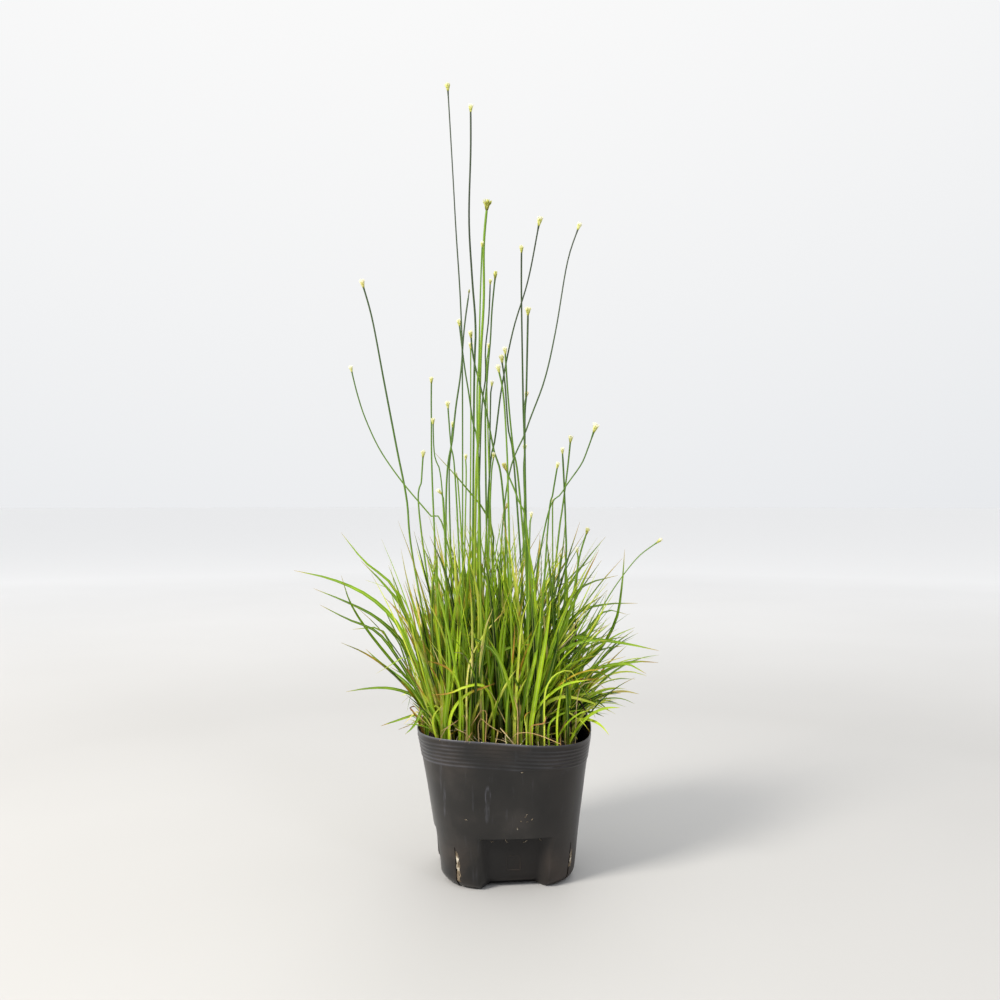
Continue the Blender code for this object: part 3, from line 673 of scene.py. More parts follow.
def leafBladeMaterial():
    # living grass-like leaf, grown: a satin skin over soft tissue, so it glows a little against the light;
    # a paler midrib and veins run along it, its foot is olive and its tip dries to orange and brown
    material, node, place, along, across, tint, age, burn = newMaterial(
        "satinLivingLeaf", "along", "across", "tint", "age", "burn")
    patches = node("TexNoise", {"Vector": place, "Scale": 70, "Detail": 3})
    shade = node("Math", (patches, 0.55, tint), operation="MULTIPLY_ADD")
    shade = node("Math", (shade, 0.27), operation="SUBTRACT")
    green = node("ValToRGB", (shade,), stops=(
        (0, "#152703"), (0.22, "#416508"), (0.5, "#7da310"), (0.75, "#afcc20"), (1, "#dce65c")))
    veins = node("Math", (node("Math", (across, 21), operation="MULTIPLY"),), operation="COSINE")
    veinShade = node("MapRange", (veins, -1, 1, 0.87, 1.06))
    blade = node("Mix", {0: 1, 6: green, 7: veinShade}, data_type="RGBA", blend_type="MULTIPLY", out=2)
    fromRib = node("Math", (across,), operation="ABSOLUTE")
    rib = node("MapRange", (fromRib, 0.05, 0.26, 0.5, 0), interpolation_type="SMOOTHSTEP")
    foot = node("MapRange", (along, 0, 0.2, 0.7, 0), interpolation_type="SMOOTHSTEP")
    # deep and low in the clump the old feet are painted dark brown: partly their own dirty brown, partly
    # painted shade where the clump closes over them
    level = node("VectorMath", (place, (1, 1, 0)), operation="MULTIPLY")
    level = node("VectorMath", (level,), operation="LENGTH", out="Value")
    inner = node("MapRange", (level, 30 * mm, 44 * mm, 0.9, 0), interpolation_type="SMOOTHSTEP")
    height = node("SeparateXYZ", (place,), out="Z")
    lowest = node("MapRange", (height, 84 * mm, 116 * mm, 1, 0), interpolation_type="SMOOTHSTEP")
    shadeAndDirt = node("Math", (inner, lowest), operation="MULTIPLY")
    fleck = node("TexNoise", {"Vector": place, "Scale": 420, "Detail": 2})
    strawShade = node("Math", (fleck, 0.7, tint), operation="MULTIPLY_ADD")
    straw = node("ValToRGB", (strawShade,), stops=(
        (0.2, "#a66a26"), (0.45, "#ba902c"), (0.75, "#caaa40"), (1, "#dccb84")))
    dryness = node("Math", (patches, 0.8, age), operation="MULTIPLY_ADD")
    withered = node("MapRange", (dryness, 0.78, 1.02, 0, 1))
    burnLine = node("Math", (along, burn), operation="ADD")
    burnt = node("MapRange", (burnLine, 0.93, 1.05, 0, 1), interpolation_type="SMOOTHSTEP")
    tip = node("ValToRGB", (burnt,), stops=((0, "#b8a41e"), (0.5, "#bd8c2a"), (1, "#a0762e")))
    for share, colour in (
            (rib, "#c6d46c"), (foot, "#8a9232"), (shadeAndDirt, "#2b250d"), (withered, straw), (burnt, tip)):
        blade = node("Mix", {0: share, 6: blade, 7: colour}, data_type="RGBA", out=2)
    gloss = node("MapRange", (fleck, 0.3, 0.7, 0.34, 0.5))
    return finish(material, blade, gloss, (veins, 0.35, 0.12 * mm), {
        "IOR": 1.42, "Specular IOR Level": 0.3, "Subsurface Weight": 0.25,
        "Subsurface Radius": (0.7, 1.0, 0.1), "Subsurface Scale": 1.2 * mm})


def deadLeafMaterial():
    # withered leaf, dried on the plant: a dull papery skin from pale straw through brown to near black
    material, node, place, tint, across = newMaterial("paperyDeadLeaf", "tint", "across")
    fleck = node("TexNoise", {"Vector": place, "Scale": 500, "Detail": 4})
    shade = node("Math", (fleck, 0.3, tint), operation="MULTIPLY_ADD")
    shade = node("Math", (shade, 0.15), operation="SUBTRACT")
    colour = node("ValToRGB", (shade,), stops=(
        (0, "#e6dcb6"), (0.25, "#cdb27a"), (0.5, "#b5793f"), (0.72, "#8a5b48"), (0.9, "#3a2318"),
        (1, "#17110e")))
    grain = node("Math", (node("Math", (across, 26), operation="MULTIPLY"),), operation="COSINE")
    creases = node("Math", (fleck, 2, grain), operation="MULTIPLY_ADD")
    gloss = node("MapRange", (shade, 0, 1, 0.75, 0.5))
    return finish(material, colour, gloss, (creases, 0.5, 0.15 * mm), {"IOR": 1.4})


def stalkMaterial():
    # leafless flower stalk, grown: a smooth ribbed skin, yellow green at its foot and grey green above
    material, node, place, along, tint = newMaterial("ribbedStalkSkin", "along", "tint")
    mottle = node("TexNoise", {"Vector": place, "Scale": 160, "Detail": 3})
    shade = node("Math", (mottle, 0.12, along), operation="MULTIPLY_ADD")
    shade = node("Math", (tint, 0.16, shade), operation="MULTIPLY_ADD")
    colour = node("ValToRGB", (shade,), stops=(
        (0.1, "#a3b236"), (0.3, "#7b9d25"), (0.5, "#587d1b"), (0.68, "#3e5a23"), (0.9, "#334129")))
    fleck = node("TexNoise", {"Vector": place, "Scale": 900, "Detail": 2})
    gloss = node("MapRange", (mottle, 0.3, 0.7, 0.36, 0.5))
    return finish(material, colour, gloss, (fleck, 0.2, 0.05 * mm), {
        "IOR": 1.42, "Subsurface Weight": 0.15, "Subsurface Radius": (0.7, 1.0, 0.2),
        "Subsurface Scale": 1 * mm})


def floretMaterial():
    # button head, grown: dry papery bracts and florets, olive where they join and cream at their fringed tips
    material, node, place, reach, cream, tint, pink = newMaterial(
        "paperyFlorets", "reach", "cream", "tint", "pink")
    shade = node("Math", (reach, 0.8, cream), operation="MULTIPLY_ADD")
    shade = node("Math", (tint, 0.3, shade), operation="MULTIPLY_ADD")
    shade = node("Math", (shade, 0.7), operation="SUBTRACT")
    colour = node("ValToRGB", (shade,), stops=(
        (0, "#6c6f24"), (0.2, "#a0a33e"), (0.42, "#c9c970"), (0.66, "#e6e4aa"), (1, "#f5f2d8")))
    blush = node("Math", (pink, 0.35), operation="MULTIPLY")
    colour = node("Mix", {0: blush, 6: colour, 7: "#c98a74"}, data_type="RGBA", out=2)
    fleck = node("TexNoise", {"Vector": place, "Scale": 1500, "Detail": 2})
    gloss = node("MapRange", (fleck, 0.3, 0.7, 0.6, 0.8))
    return finish(material, colour, gloss, (fleck, 0.3, 0.08 * mm), {"IOR": 1.4})


def spotMask(node, place, centre, radii):
    # 1 at the centre of an ellipsoid of these half sizes in mm, falling to 0 at its skin.
    size = {1: [c * mm for c in centre], 3: [r * mm for r in radii]}
    inside = node("Mapping", {0: place, **size}, vector_type="TEXTURE")
    return node("TexGradient", (inside,), gradient_type="SPHERICAL", out=1)


# Scuffs on the pot's front, then in the last two rows pale painted highlights along a fold at its left: centre
# and half sizes in mm, strength, and a hollow middle (1) or none (0)
scuffsAndHighlights = (
    ((-9.9, -47, 56.2), (2.0, 20, 6.6), 0.34, 1),
    ((-10.4, -47, 47), (1.6, 20, 8), 0.12, 0),
    ((-34.8, -37, 52), (0.9, 12, 12), 0.14, 0),
    ((-36.8, -37, 69), (0.9, 14, 15), 0.1, 0),
)


def potMaterial():
    # thin black polyethylene, thermoformed: a satin skin with faint pulls, scuffs, a film of dried soil and
    # pale painted highlights;
    # rim and rib crests worn pale, which also paints their highlights; painted shade darkens the recesses at
    # its foot, duller there too, and the right side, browned by a painted reflection
    material, node, place, recess, rim = newMaterial("thermoformedPolyethylene", "recess", "rim")
    axes = node("SeparateXYZ", (place,), out=None)
    pulled = node("Mapping", {0: place, 3: (1, 1, 0.12)}, vector_type="POINT")
    cloud, grain, streaks, rubbed = (
        node("TexNoise", {"Vector": vector, "Scale": scale, "Detail": detail}) for vector, scale, detail in (
            (place, 38, 5), (place, 1400, 2), (pulled, 300, 4), (pulled, 900, 3)))
    base = node("ValToRGB", (cloud,), stops=((0.3, "#151413"), (0.55, "#211f1d"), (0.75, "#35312e")))
    scuffAndHighlight = node("MapRange", (streaks, 0.62, 0.85, 0, 0.12))
    broken = node("MapRange", (rubbed, 0.4, 0.6, 0.1, 1))
    # the listed marks: pale scuffs, and pale painted highlights along the fold at the left
    for centre, radii, strength, hollow in scuffsAndHighlights:
        fade = node("MapRange", (spotMask(node, place, centre, radii), 0, 0.3, 0, strength))
        if hollow:
            lower = spotMask(node, place, (centre[0], centre[1], centre[2] - 2), (radii[0] * 0.7, *radii[1:]))
            middle = node("MapRange", (lower, 0, 0.3, 1, 0.05))
            fade = node("Math", (fade, middle), operation="MULTIPLY")
        fade = node("Math", (fade, broken), operation="MULTIPLY")
        scuffAndHighlight = node("Math", (scuffAndHighlight, fade), operation="MAXIMUM")
    # the rim and the rib crests are painted pale, as wear and as painted highlights
    wearAndHighlight = node("Math", (rim, node("MapRange", (cloud, 0.35, 0.65, 0.2, 0.7))), operation="MULTIPLY")
    scuffAndHighlight = node("Math", (scuffAndHighlight, wearAndHighlight), operation="MAXIMUM")
    low = node("MapRange", (axes["Z"], 0, 30 * mm, 0.4, 0))
    high = node("MapRange", (axes["Z"], 62 * mm, 86 * mm, 0, 0.2))
    dusty = node("Math", (low, high), operation="MAXIMUM")
    dust = node("Math", (dusty, node("MapRange", (cloud, 0.42, 0.68, 0, 1))), operation="MULTIPLY")
    # the right side is painted darker and browner: painted shade and a brown painted reflection
    side = node("MapRange", (axes["X"], 18 * mm, 40 * mm, 0, 0.75))
    # painted shade: the recessed panels and the mould mark are painted darker
    recessShade = node("Math", (recess, 0.85), operation="MULTIPLY")
    for share, colour in ((scuffAndHighlight, "#7c7e8a"), (dust, "#5c4a3c"), (side, "#170f0b"), (recessShade, "#0e0c0b")):
        base = node("Mix", {0: share, 6: base, 7: colour}, data_type="RGBA", out=2)
    gloss = node("Math", (cloud, 0.25, 0.2), operation="MULTIPLY_ADD")
    for mask, share in ((dust, 0.5), (recess, 0.25)):
        gloss = node("Math", (mask, share, gloss), operation="MULTIPLY_ADD")
    height = node("Math", (streaks, 0.6, grain), operation="MULTIPLY_ADD")
    return finish(material, base, gloss, (height, 0.3, 0.06 * mm), {"IOR": 1.51, "Specular IOR Level": 0.4})


def soilMaterial():
    # peat, milled and potted: matt dark brown crumb, nearly black where it is damp
    material, node, place = newMaterial("milledPeat")
    clods = node("TexNoise", {"Vector": place, "Scale": 180, "Detail": 6})
    crumb = node("TexNoise", {"Vector": place, "Scale": 1100, "Detail": 4})
    shade = node("Math", (clods, 1, crumb), operation="MULTIPLY_ADD")
    shade = node("Math", (shade, 0.5), operation="MULTIPLY")
    colour = node("ValToRGB", (shade,), stops=(
        (0.3, "#120c08"), (0.5, "#2a1d13"), (0.62, "#46321f"), (0.78, "#6e5434")))
    return finish(material, colour, 0.93, (shade, 0.8, 0.5 * mm), {})


def rootMaterial():
    # fine roots: matt and fibrous, cream to pale brown
    material, node, place = newMaterial("fineRoots")
    mottle = node("TexNoise", {"Vector": place, "Scale": 260, "Detail": 4})
    colour = node("ValToRGB", (mottle,), stops=((0.3, "#5e503c"), (0.5, "#93836c"), (0.66, "#e2dac8")))
    return finish(material, colour, 0.8, (mottle, 0.4, 0.1 * mm), {})


# Trees

def bladeTree():
    # Each line of the guide becomes a keeled blade, its edges along the guide's side vector.
    tree, node, given = newTree("leafBlades", (
        ("Keel", "Float", 0.3), ("Thickness", "Float", 0.1), ("Section Points", "Int", 8),
        ("Material", "Material", None)))
    side = node("InputNamedAttribute", ("side",), data_type="FLOAT_VECTOR")
    lines = node("SetCurveNormal", {0: node("MeshToCurve", (given["Geometry"],)), 2: side}, mode="FREE")
    ring = node("CurvePrimitiveCircle", {0: given["Section Points"], 4: 1.0})
    x, y, _ = node("SeparateXYZ", (node("InputPosition"),), out=None)
    ring = node("StoreNamedAttribute", {0: ring, 2: "across", 3: x})
    inward = node("Math", (node("Math", (x,), operation="ABSOLUTE"), 1), operation="SUBTRACT")
    bent = node("Math", (inward, given["Keel"]), operation="MULTIPLY")
    raised = node("Math", (y, given["Thickness"]), operation="MULTIPLY")
    level = node("Math", (raised, bent), operation="SUBTRACT")
    ring = node("SetPosition", {0: ring, 2: node("CombineXYZ", (x, level))})
    width = node("InputNamedAttribute", ("halfWidth",))
    blades = node("RealizeInstances", (node("CurveToMesh", (lines, ring, width, True)),))
    node("GroupOutput", (node("SetMaterial", {0: blades, 2: given["Material"]}),))
    return tree


def stalkTree():
    # The guide's line becomes a ribbed stalk, and its loose points bracts (part 1) and florets (part 2).
    tree, node, given = newTree("flowerStalk", (
        ("Section Points", "Int", 12), ("Rib Depth", "Float", 0.1), ("Bract", "Object", None),
        ("Floret", "Object", None), ("Stalk Material", "Material", None),
        ("Head Material", "Material", None)))
    part, width = (node("InputNamedAttribute", (name,)) for name in ("part", "halfWidth"))
    side, facing = (node("InputNamedAttribute", (name,), data_type="FLOAT_VECTOR")
                    for name in ("side", "facing"))
    isStalk = node("Compare", (part, 0.5), operation="LESS_THAN")
    line, loose = node("SeparateGeometry", (given["Geometry"], isStalk), out=None)
    line = node("SetCurveNormal", {0: node("MeshToCurve", (line,)), 2: side}, mode="FREE")
    ring = node("CurvePrimitiveCircle", {0: given["Section Points"], 4: 1.0})
    odd = node("Math", (node("InputIndex"), 2), operation="MODULO")
    groove = node("Math", (odd, given["Rib Depth"]), operation="MULTIPLY")
    reach = node("Math", (1, groove), operation="SUBTRACT")
    ribbed = node("VectorMath", {0: node("InputPosition"), 3: reach}, operation="SCALE")
    ring = node("SetPosition", {0: ring, 2: ribbed})
    tube = node("CurveToMesh", (line, ring, width, True))
    tube = node("SetMaterial", {0: tube, 2: given["Stalk Material"]})
    turn = node("AlignRotationToVector", {2: side}, axis="Z")
    turn = node("AlignRotationToVector", {0: turn, 2: facing}, axis="X", pivot_axis="Z")
    points = node("MeshToPoints", (loose,))
    heads, whole = node("JoinGeometry"), node("JoinGeometry")
    for label, lowest in (("Floret", 1.5), ("Bract", 0.5)):
        above = node("Compare", (part, lowest), operation="GREATER_THAN")
        below = node("Compare", (part, lowest + 1), operation="LESS_THAN")
        chosen = node("BooleanMath", (above, below), operation="AND")
        shape = node("ObjectInfo", (given[label],), out="Geometry")
        parts = node("InstanceOnPoints", {0: points, 1: chosen, 2: shape, 5: turn, 6: width})
        tree.links.new(parts, heads.node.inputs[0])
    heads = node("SetMaterial", {0: node("RealizeInstances", (heads,)), 2: given["Head Material"]})
    for geometry in (heads, tube):
        tree.links.new(geometry, whole.node.inputs[0])
    node("GroupOutput", (whole,))
    return tree


def crumbTree():
    # Crumbs scattered over the guide surface where it is high enough, half sunk into it.
    tree, node, given = newTree("soilCrumbs", (
        ("Density", "Float", 1000), ("Smallest", "Float", 1 * mm), ("Largest", "Float", 2 * mm),
        ("Lowest Place", "Float", 0), ("Seed", "Int", 0), ("Material", "Material", None)))
    height = node("SeparateXYZ", (node("InputPosition"),), out="Z")
    highEnough = node("Compare", (height, given["Lowest Place"]), operation="GREATER_THAN")
    points = node("DistributePointsOnFaces", {
        0: given["Geometry"], 1: highEnough, 4: given["Density"], 6: given["Seed"]})
    stone = node("MeshIcoSphere", (1.0, 1))
    spin, squash = (
        node("RandomValue", {0: least, 1: most, "Seed": seed}, data_type="FLOAT_VECTOR")
        for least, most, seed in (
            ((0, 0, 0), (6.28, 6.28, 6.28), given["Seed"]), ((0.5, 0.5, 0.4), (1, 1, 0.8), 9)))
    luck = node("RandomValue", {"Seed": 5}, data_type="FLOAT", out=1)
    luck = node("Math", (luck, 3), operation="POWER")
    size = node("MapRange", {0: luck, 3: given["Smallest"], 4: given["Largest"]})
    scale = node("VectorMath", {0: squash, 3: size}, operation="SCALE")
    crumbs = node("InstanceOnPoints", {0: points, 2: stone, 5: node("EulerToRotation", (spin,)), 6: scale})
    crumbs = node("RealizeInstances", (crumbs,))
    node("GroupOutput", (node("SetMaterial", {0: crumbs, 2: given["Material"]}),))
    return tree


# The pot

def wallHeights():
    # Heights of the outer wall's rings, close together at the foot, the ledge and the ribs.
    foot = [0, 0.12, 0.4, 0.9, 1.6, 2.6, 3.8, 5]
    panel = list(np.arange(6, 28.4, 1.6))
    ledge = list(np.arange(28.8, 31.3, 0.3))
    middle = list(np.arange(32.4, 70, 1.9))
    ribs = list(np.arange(70.5, 87.5, 0.36))
    return [height * mm for height in foot + panel + ledge + middle + ribs]


def ribRise(height):
    # How far the fine moulded ribs under the rim stand out at this height.
    rise = 0
    for rib in range(pot["ribs"]):
        centre = pot["height"] - pot["ribTop"] - rib * pot["ribPitch"]
        rise = max(rise, smoothStep(1 - abs(height - centre) / (pot["ribWidth"] * 1.6)))
    return rise * pot["ribRise"]


def dent(point):
    # Soft dents of the thin wall, none at its foot.
    depth = noise.noise(point / pot["dentSize"]) * pot["dent"]
    return depth * smoothStep((point.z - 4 * mm) / (12 * mm))


def wallPoint(bearing, height, inset):
    point = planPoint(bearing, height, 0)
    return planPoint(bearing, height, inset + dent(point) - ribRise(height))


def mouldMark(tree, material):
    # The ridges of the bare moulded square, half sunk into the front panel.
    guide = Guide(("halfWidth",), ("side",))
    corners = pot["mark"]
    for start, end in zip(corners, corners[1:] + corners[:1]):
        places = [onWall(*(mixed(a, b, i / 6) for a, b in zip(start, end))) for i in range(7)]
        path = [wallPoint(bearing, height, 0) for bearing, height in places]
        guide.addLine(path, tubeRows(path, pot["markLine"]))
    return bladeMesh("mouldMark", guide, tree, 0, 1, 6, material)


def potRings():
    # The skin's rings: up the outside, over the rounded rim and down the inside to the pot's floor.
    bearings = [math.tau * i / pot["bearings"] for i in range(pot["bearings"])]
    wall, steps = pot["wall"], 8
    outer = [[wallPoint(b, h, 0) for b in bearings] for h in wallHeights()]
    rim = []
    for step in range(1, steps):
        angle = math.pi * step / steps
        inset, rise = wall / 2 * (1 - math.cos(angle)), wall / 2 * math.sin(angle)
        rim.append([wallPoint(b, pot["height"] - wall / 2, inset) + upright * rise for b in bearings])
    inner = [[wallPoint(b, height, wall) for b in bearings] for height in reversed(wallHeights()[7::2])]
    share = pot["floorShare"]
    underside = [Vector((p.x * share, p.y * share, 0)) for p in outer[0]]
    innerFloor = [Vector((p.x, p.y, wall + 0.1 * mm)) for p in outer[0]]
    return [[Vector()], underside, *outer, *rim, *inner, innerFloor, [Vector((0, 0, wall))]]


def buildPot(tree, material):
    body = addObject("potBody", meshFromRings("blackPot", potRings()))
    cutters = [slitCutter(pot["baseYaw"] + math.radians(45 + 90 * corner)) for corner in range(4)]
    for cutter in cutters:
        cut = body.modifiers.new("drainageSlit", "BOOLEAN")
        cut.operation, cut.solver, cut.object = "DIFFERENCE", "EXACT", cutter
    mesh = finalMesh(body, *cutters)
    joined = bmesh.new()
    joined.from_mesh(mesh)
    wallCount = len(joined.verts)
    joined.from_mesh(mouldMark(tree, material))
    joined.to_mesh(mesh)
    joined.free()
    mesh.materials.clear()
    mesh.materials.append(material)
    mesh.shade_smooth()
    mesh.set_sharp_from_angle(angle=math.radians(50))
    # recess: the painted shade of the recessed panels, a part of it on the mould mark; rim: pale wear that
    # also paints highlights on the rim and rib crests
    recess, rim = [], []
    for vert in mesh.vertices:
        bearing = math.atan2(vert.co.x, -vert.co.y)
        recess.append(recessShare(bearing, vert.co.z) if vert.index < wallCount else pot["markShade"])
        top = planPoint(bearing, pot["height"], 0).z
        height = vert.co.z + pot["height"] - top
        middle = planPoint(bearing, min(height, pot["height"]), pot["wall"] / 2)
        outside = vert.co.xy.length > middle.xy.length
        # rib crests on the outside take pale wear that also paints their highlights, in patches
        crest = pot["ribWearAndHighlight"] * ribRise(height) / pot["ribRise"] if outside else 0
        crest *= smoothStep(0.6 + 1.1 * noise.noise(vert.co / (24 * mm)))
        rim.append(max(smoothStep((vert.co.z - top) / pot["rimWearAndHighlight"] + 1), crest))
    addValues(mesh, "recess", recess)
    addValues(mesh, "rim", rim)
    addPiece("blackPot", mesh, "black_polyethylene", "nursery_pot")


def slitCutter(bearing):
    # A thin upright plate across one foot, narrowing upwards.
    bm = bmesh.new()
    bmesh.ops.create_cube(bm, size=1)
    below = 3 * mm
    for vert in bm.verts:
        vert.co.z = (vert.co.z + 0.5) * (pot["slitTop"] + below) - below
        vert.co.x *= pot["slitWidth"] * (1.0 if vert.co.z < 0 else pot["slitNarrowing"])
        vert.co.y = vert.co.y * pot["slitReach"] * 2 - pot["baseHalfWidth"] - 1 * mm
    bmesh.ops.transform(bm, matrix=Matrix.Rotation(bearing, 4, "Z"), verts=bm.verts)
    cutter = addObject("slitCutter", meshOf(bm, "slitCutter"))
    cutter.hide_render = True
    return cutter


# The soil

def dryGap(bearing, height):
    side = smoothStep(1 - angleBetween(bearing, soil["gapBearing"]) / soil["gapSpread"])
    level = smoothStep(1 - (soil["top"] - height) / soil["gapDepth"])
    return soil["gap"] * side * level


def roughness(point):
    # The peat's clods and crumb.
    return noise.fractal(point / soil["clod"], 0.8, 2.1, 4) * soil["roughness"]


def soilRings():
    # The root ball's skin: from its underside up the side, then inwards over its top to the middle.
    bearings = [math.tau * i / soil["bearings"] for i in range(soil["bearings"])]
    inset = pot["wall"] + soil["clearance"] + soil["inset"]
    ledgeTop = pot["panelHeight"] + pot["wall"] + soil["overLedge"]
    levels = [soil["lowest"], ledgeTop, ledgeTop + 1 * mm, 44 * mm, 56 * mm]
    rings = []
    for level in levels + [h * mm for h in np.arange(60, 78.2, 1.0)]:
        ring = []
        for bearing in bearings:
            clearance = inset + dryGap(bearing, level)
            point = planPoint(bearing, level, clearance)
            if level <= ledgeTop:
                # below the ledge it is no wider than the recessed panels leave it
                recessed = planPoint(bearing, pot["panelHeight"] - 1.5 * mm, clearance)
                share = min(1, recessed.xy.length / point.xy.length)
                point.x *= share
                point.y *= share
            ring.append(point)
        rings.append(ring)
    for point in sum(rings[4:], []):
        outward = Vector((point.x, point.y, 0)).normalized()
        point -= outward * abs(roughness(point)) * 0.6
    shoulder = rings[-1]
    for step in range(soil["topRings"] - 1):
        share = 1 - (step + 0.6) / soil["topRings"]
        settled = smoothStep((step + 1) / 3)
        ring = []
        for point in shoulder:
            x, y = point.x * share, point.y * share
            height = mixed(point.z + 1.0 * mm, soilHeight(x, y), settled)
            ring.append(Vector((x, y, height + roughness(Vector((x, y, 0))) * 0.8)))
        rings.append(ring)
    low = pot["wall"] + soil["restingGap"]
    underside = [Vector((p.x * 0.6, p.y * 0.6, low)) for p in rings[0]]
    return [[Vector((0, 0, low))], underside, *rings, [Vector((0, 0, soilHeight(0, 0)))]]


def buildSoil(material, crumbs):
    mesh = meshFromRings("peatRootBall", soilRings())
    scattered = grow("peatCrumbs", mesh.copy(), crumbs, {
        "Density": soil["crumbs"], "Smallest": soil["crumb"][0], "Largest": soil["crumb"][1],
        "Lowest Place": soil["crumbsFrom"], "Seed": soil["seed"], "Material": material})
    mesh.materials.append(material)
    addPiece("peatRootBall", mesh, "peat_soil", "potting_soil")
    addPiece("peatCrumbs", scattered, "peat_soil")


# Roots: strands in the drainage slits, and bits that stuck to the wall and the rim

rootBits = {
    "strands": 9, "strand": 0.34, "hair": 0.16, "section": 6, "seed": 31, "proud": 0.12 * mm,
    # angles in radians: from the slit's middle to the first strand and from strand to strand, and the
    # phase, reach and rate of a strand's sway
    "beside": 0.016, "apart": 0.004, "sway": ((0, 6), (0.006, 0.016), (0.8, 1.9)),
    "slits": ((-37.5, 4, 22, 1.0), (52.5, 9, 20, 0.45), (142.5, 6, 18, 0.7), (232.5, 5, 20, 0.6)),
    # across and up in mm as seen, length in mm, turn in degrees
    "bits": ((-8, 14.4, 2.2, 20), (0.6, 15, 2.4, -35), (12.2, 14.6, 3.0, 40), (21.5, 15.6, 2.0, -20),
             (12.8, 30.2, 2.6, 75), (13.4, 26.6, 1.2, 10), (7.6, 22.3, 1.2, 120), (9.8, 26.8, 0.8, 30),
             (-23.8, 27.8, 1.2, 15), (16.5, 28, 0.9, 80), (10.4, 56.6, 1.0, 50), (-21.5, 79, 3.0, 95),
             (-23.5, 77, 2.2, 60), (-14, 77, 1.0, 20), (-5, 76, 1.6, 20), (14, 75, 1.6, 150),
             (20, 75, 1.0, 10)),
}


def onWall(across, up):
    # The bearing and height of the place on the pot's front that is seen there.
    bearing, height = math.asin(across / 60), max(up, 1) * mm
    for _ in range(14):
        point = wallPoint(bearing, height, 0)
        seen = eye + (point - eye) * (-eye.y / (point.y - eye.y))
        bearing += (across * mm - seen.x) / (52 * mm)
        height = min(max(height + up * mm - seen.z, 1 * mm), pot["height"])
    return bearing, height


def tubeRows(path, halfWidth):
    rows = []
    for i in range(len(path)):
        width = halfWidth * mm * (0.4 if i in (0, len(path) - 1) else 1)
        rows.append({"halfWidth": width, "side": directionAt(path, i).orthogonal().normalized()})
    return rows


def buildRoots(tree, material):
    draw = random.Random(rootBits["seed"])
    guide = Guide(("halfWidth",), ("side",))
    for degrees, lowest, highest, thickness in rootBits["slits"]:
        bearing = math.radians(degrees)
        for strand in range(rootBits["strands"]):
            path = []
            top = mixed(highest, lowest, draw.uniform(0, 0.5) * (strand > 0))
            phase, reach, rate = (draw.uniform(*limits) for limits in rootBits["sway"])
            for i in range(14):
                height = mixed(top, lowest, i / 13) * mm
                sway = math.sin(i * rate + phase) * reach * (0.3 + i / 13) + strand * rootBits["apart"]
                aside = rootBits["beside"] + sway
                path.append(wallPoint(bearing + aside, height, draw.uniform(-0.1, 0.2) * mm))
            guide.addLine(path, tubeRows(path, rootBits["strand"] * thickness * draw.uniform(0.35, 1)))
    for across, up, length, degrees in rootBits["bits"]:
        bearing, height = onWall(across, up)
        turn = math.radians(degrees)
        path = []
        for i in range(7):
            along = (i / 6 - 0.5) * length
            bend = 0.35 * length * math.cos(i / 6 * math.pi) * 0.3 + 0.3 * math.sin(i * 1.9)
            aside = along * math.cos(turn) - bend * math.sin(turn)
            rise = along * math.sin(turn) + bend * math.cos(turn)
            level = min(height + rise * mm, pot["height"])
            path.append(wallPoint(bearing + aside / 46, level, -rootBits["proud"]))
        guide.addLine(path, tubeRows(path, rootBits["hair"] * draw.uniform(0.6, 1)))
    addPiece("rootBits", bladeMesh("rootBits", guide, tree, 0, 1, rootBits["section"], material), "peat_soil")


# Leaves

def bladeRows(path, width, look, roll=0.0, twist=0.0):
    # What each station of a blade's guide line holds: half width, side vector, place and colours.
    level = Vector((path[-1].y - path[0].y, path[0].x - path[-1].x, 0))
    level = level.normalized() if level.length > 1e-6 else Vector((1, 0, 0))
    colours = {name: look[name] for name in ("tint", "age", "burn") if name in look}
    rows = []
    for i in range(len(path)):
        share = i / (len(path) - 1)
        direction = directionAt(path, i)
        side = (level - direction * level.dot(direction)).normalized()
        turn = roll + twist * share
        halfWidth = max(width * look.get("shape", bladeWidth)(share) / 2, 0.06) * mm
        rows.append({"halfWidth": halfWidth, "along": share, **colours,
                     "side": side * math.cos(turn) + direction.cross(side) * math.sin(turn)})
    return rows


def bladeWidth(share):
    # Broad from its foot on, then tapering over its last third to a fine tip.
    return (0.86 + 0.14 * math.sin(math.pi * min(share * 2.2, 1) / 2)) * (1 - share**4) ** 0.9


def turnedToFront(path):
    # 1 for a blade that leans to the right, -1 to the left: times a roll, this turns its face to the front.
    away = path[-1].xy - path[0].xy
    return away.x / max(away.length, 1 * mm)


# Tints run from 0, dark green, to 1, pale yellow green; ages from 0, fresh, to 1, straw.
leafColour = {
    "longTint": (0.22, 0.46), "longBurn": (0, 0.05), "witheredAge": 0.62, "darkTint": (0, 0.25), "dark": 0.35,
    "tint": (0.35, 0.65), "brightTint": (0.75, 1), "bright": 0.78, "age": (0.34, 0.58), "burn": (0.03, 0.14),
    "burnt": 0.15,
}


def leafLook(draw, kind="fine", dryShare=0.1):
    # A leaf's own green, and how far it has dried. The long ones are darker and sound.
    if kind == "long":
        return {"tint": draw.uniform(*leafColour["longTint"]), "burn": draw.uniform(*leafColour["longBurn"])}
    if kind == "withered":
        return {"tint": draw.random(), "age": leafColour["witheredAge"]}
    shade = draw.random()
    tint = draw.uniform(*leafColour["darkTint" if shade < leafColour["dark"] else "tint"])
    return {
        "tint": draw.uniform(*leafColour["brightTint"]) if shade > leafColour["bright"] else tint,
        "age": draw.uniform(*leafColour["age"]) if draw.random() < dryShare else 0.0,
        "burn": draw.uniform(*leafColour["burn"]) if draw.random() < leafColour["burnt"] else 0.0,
    }


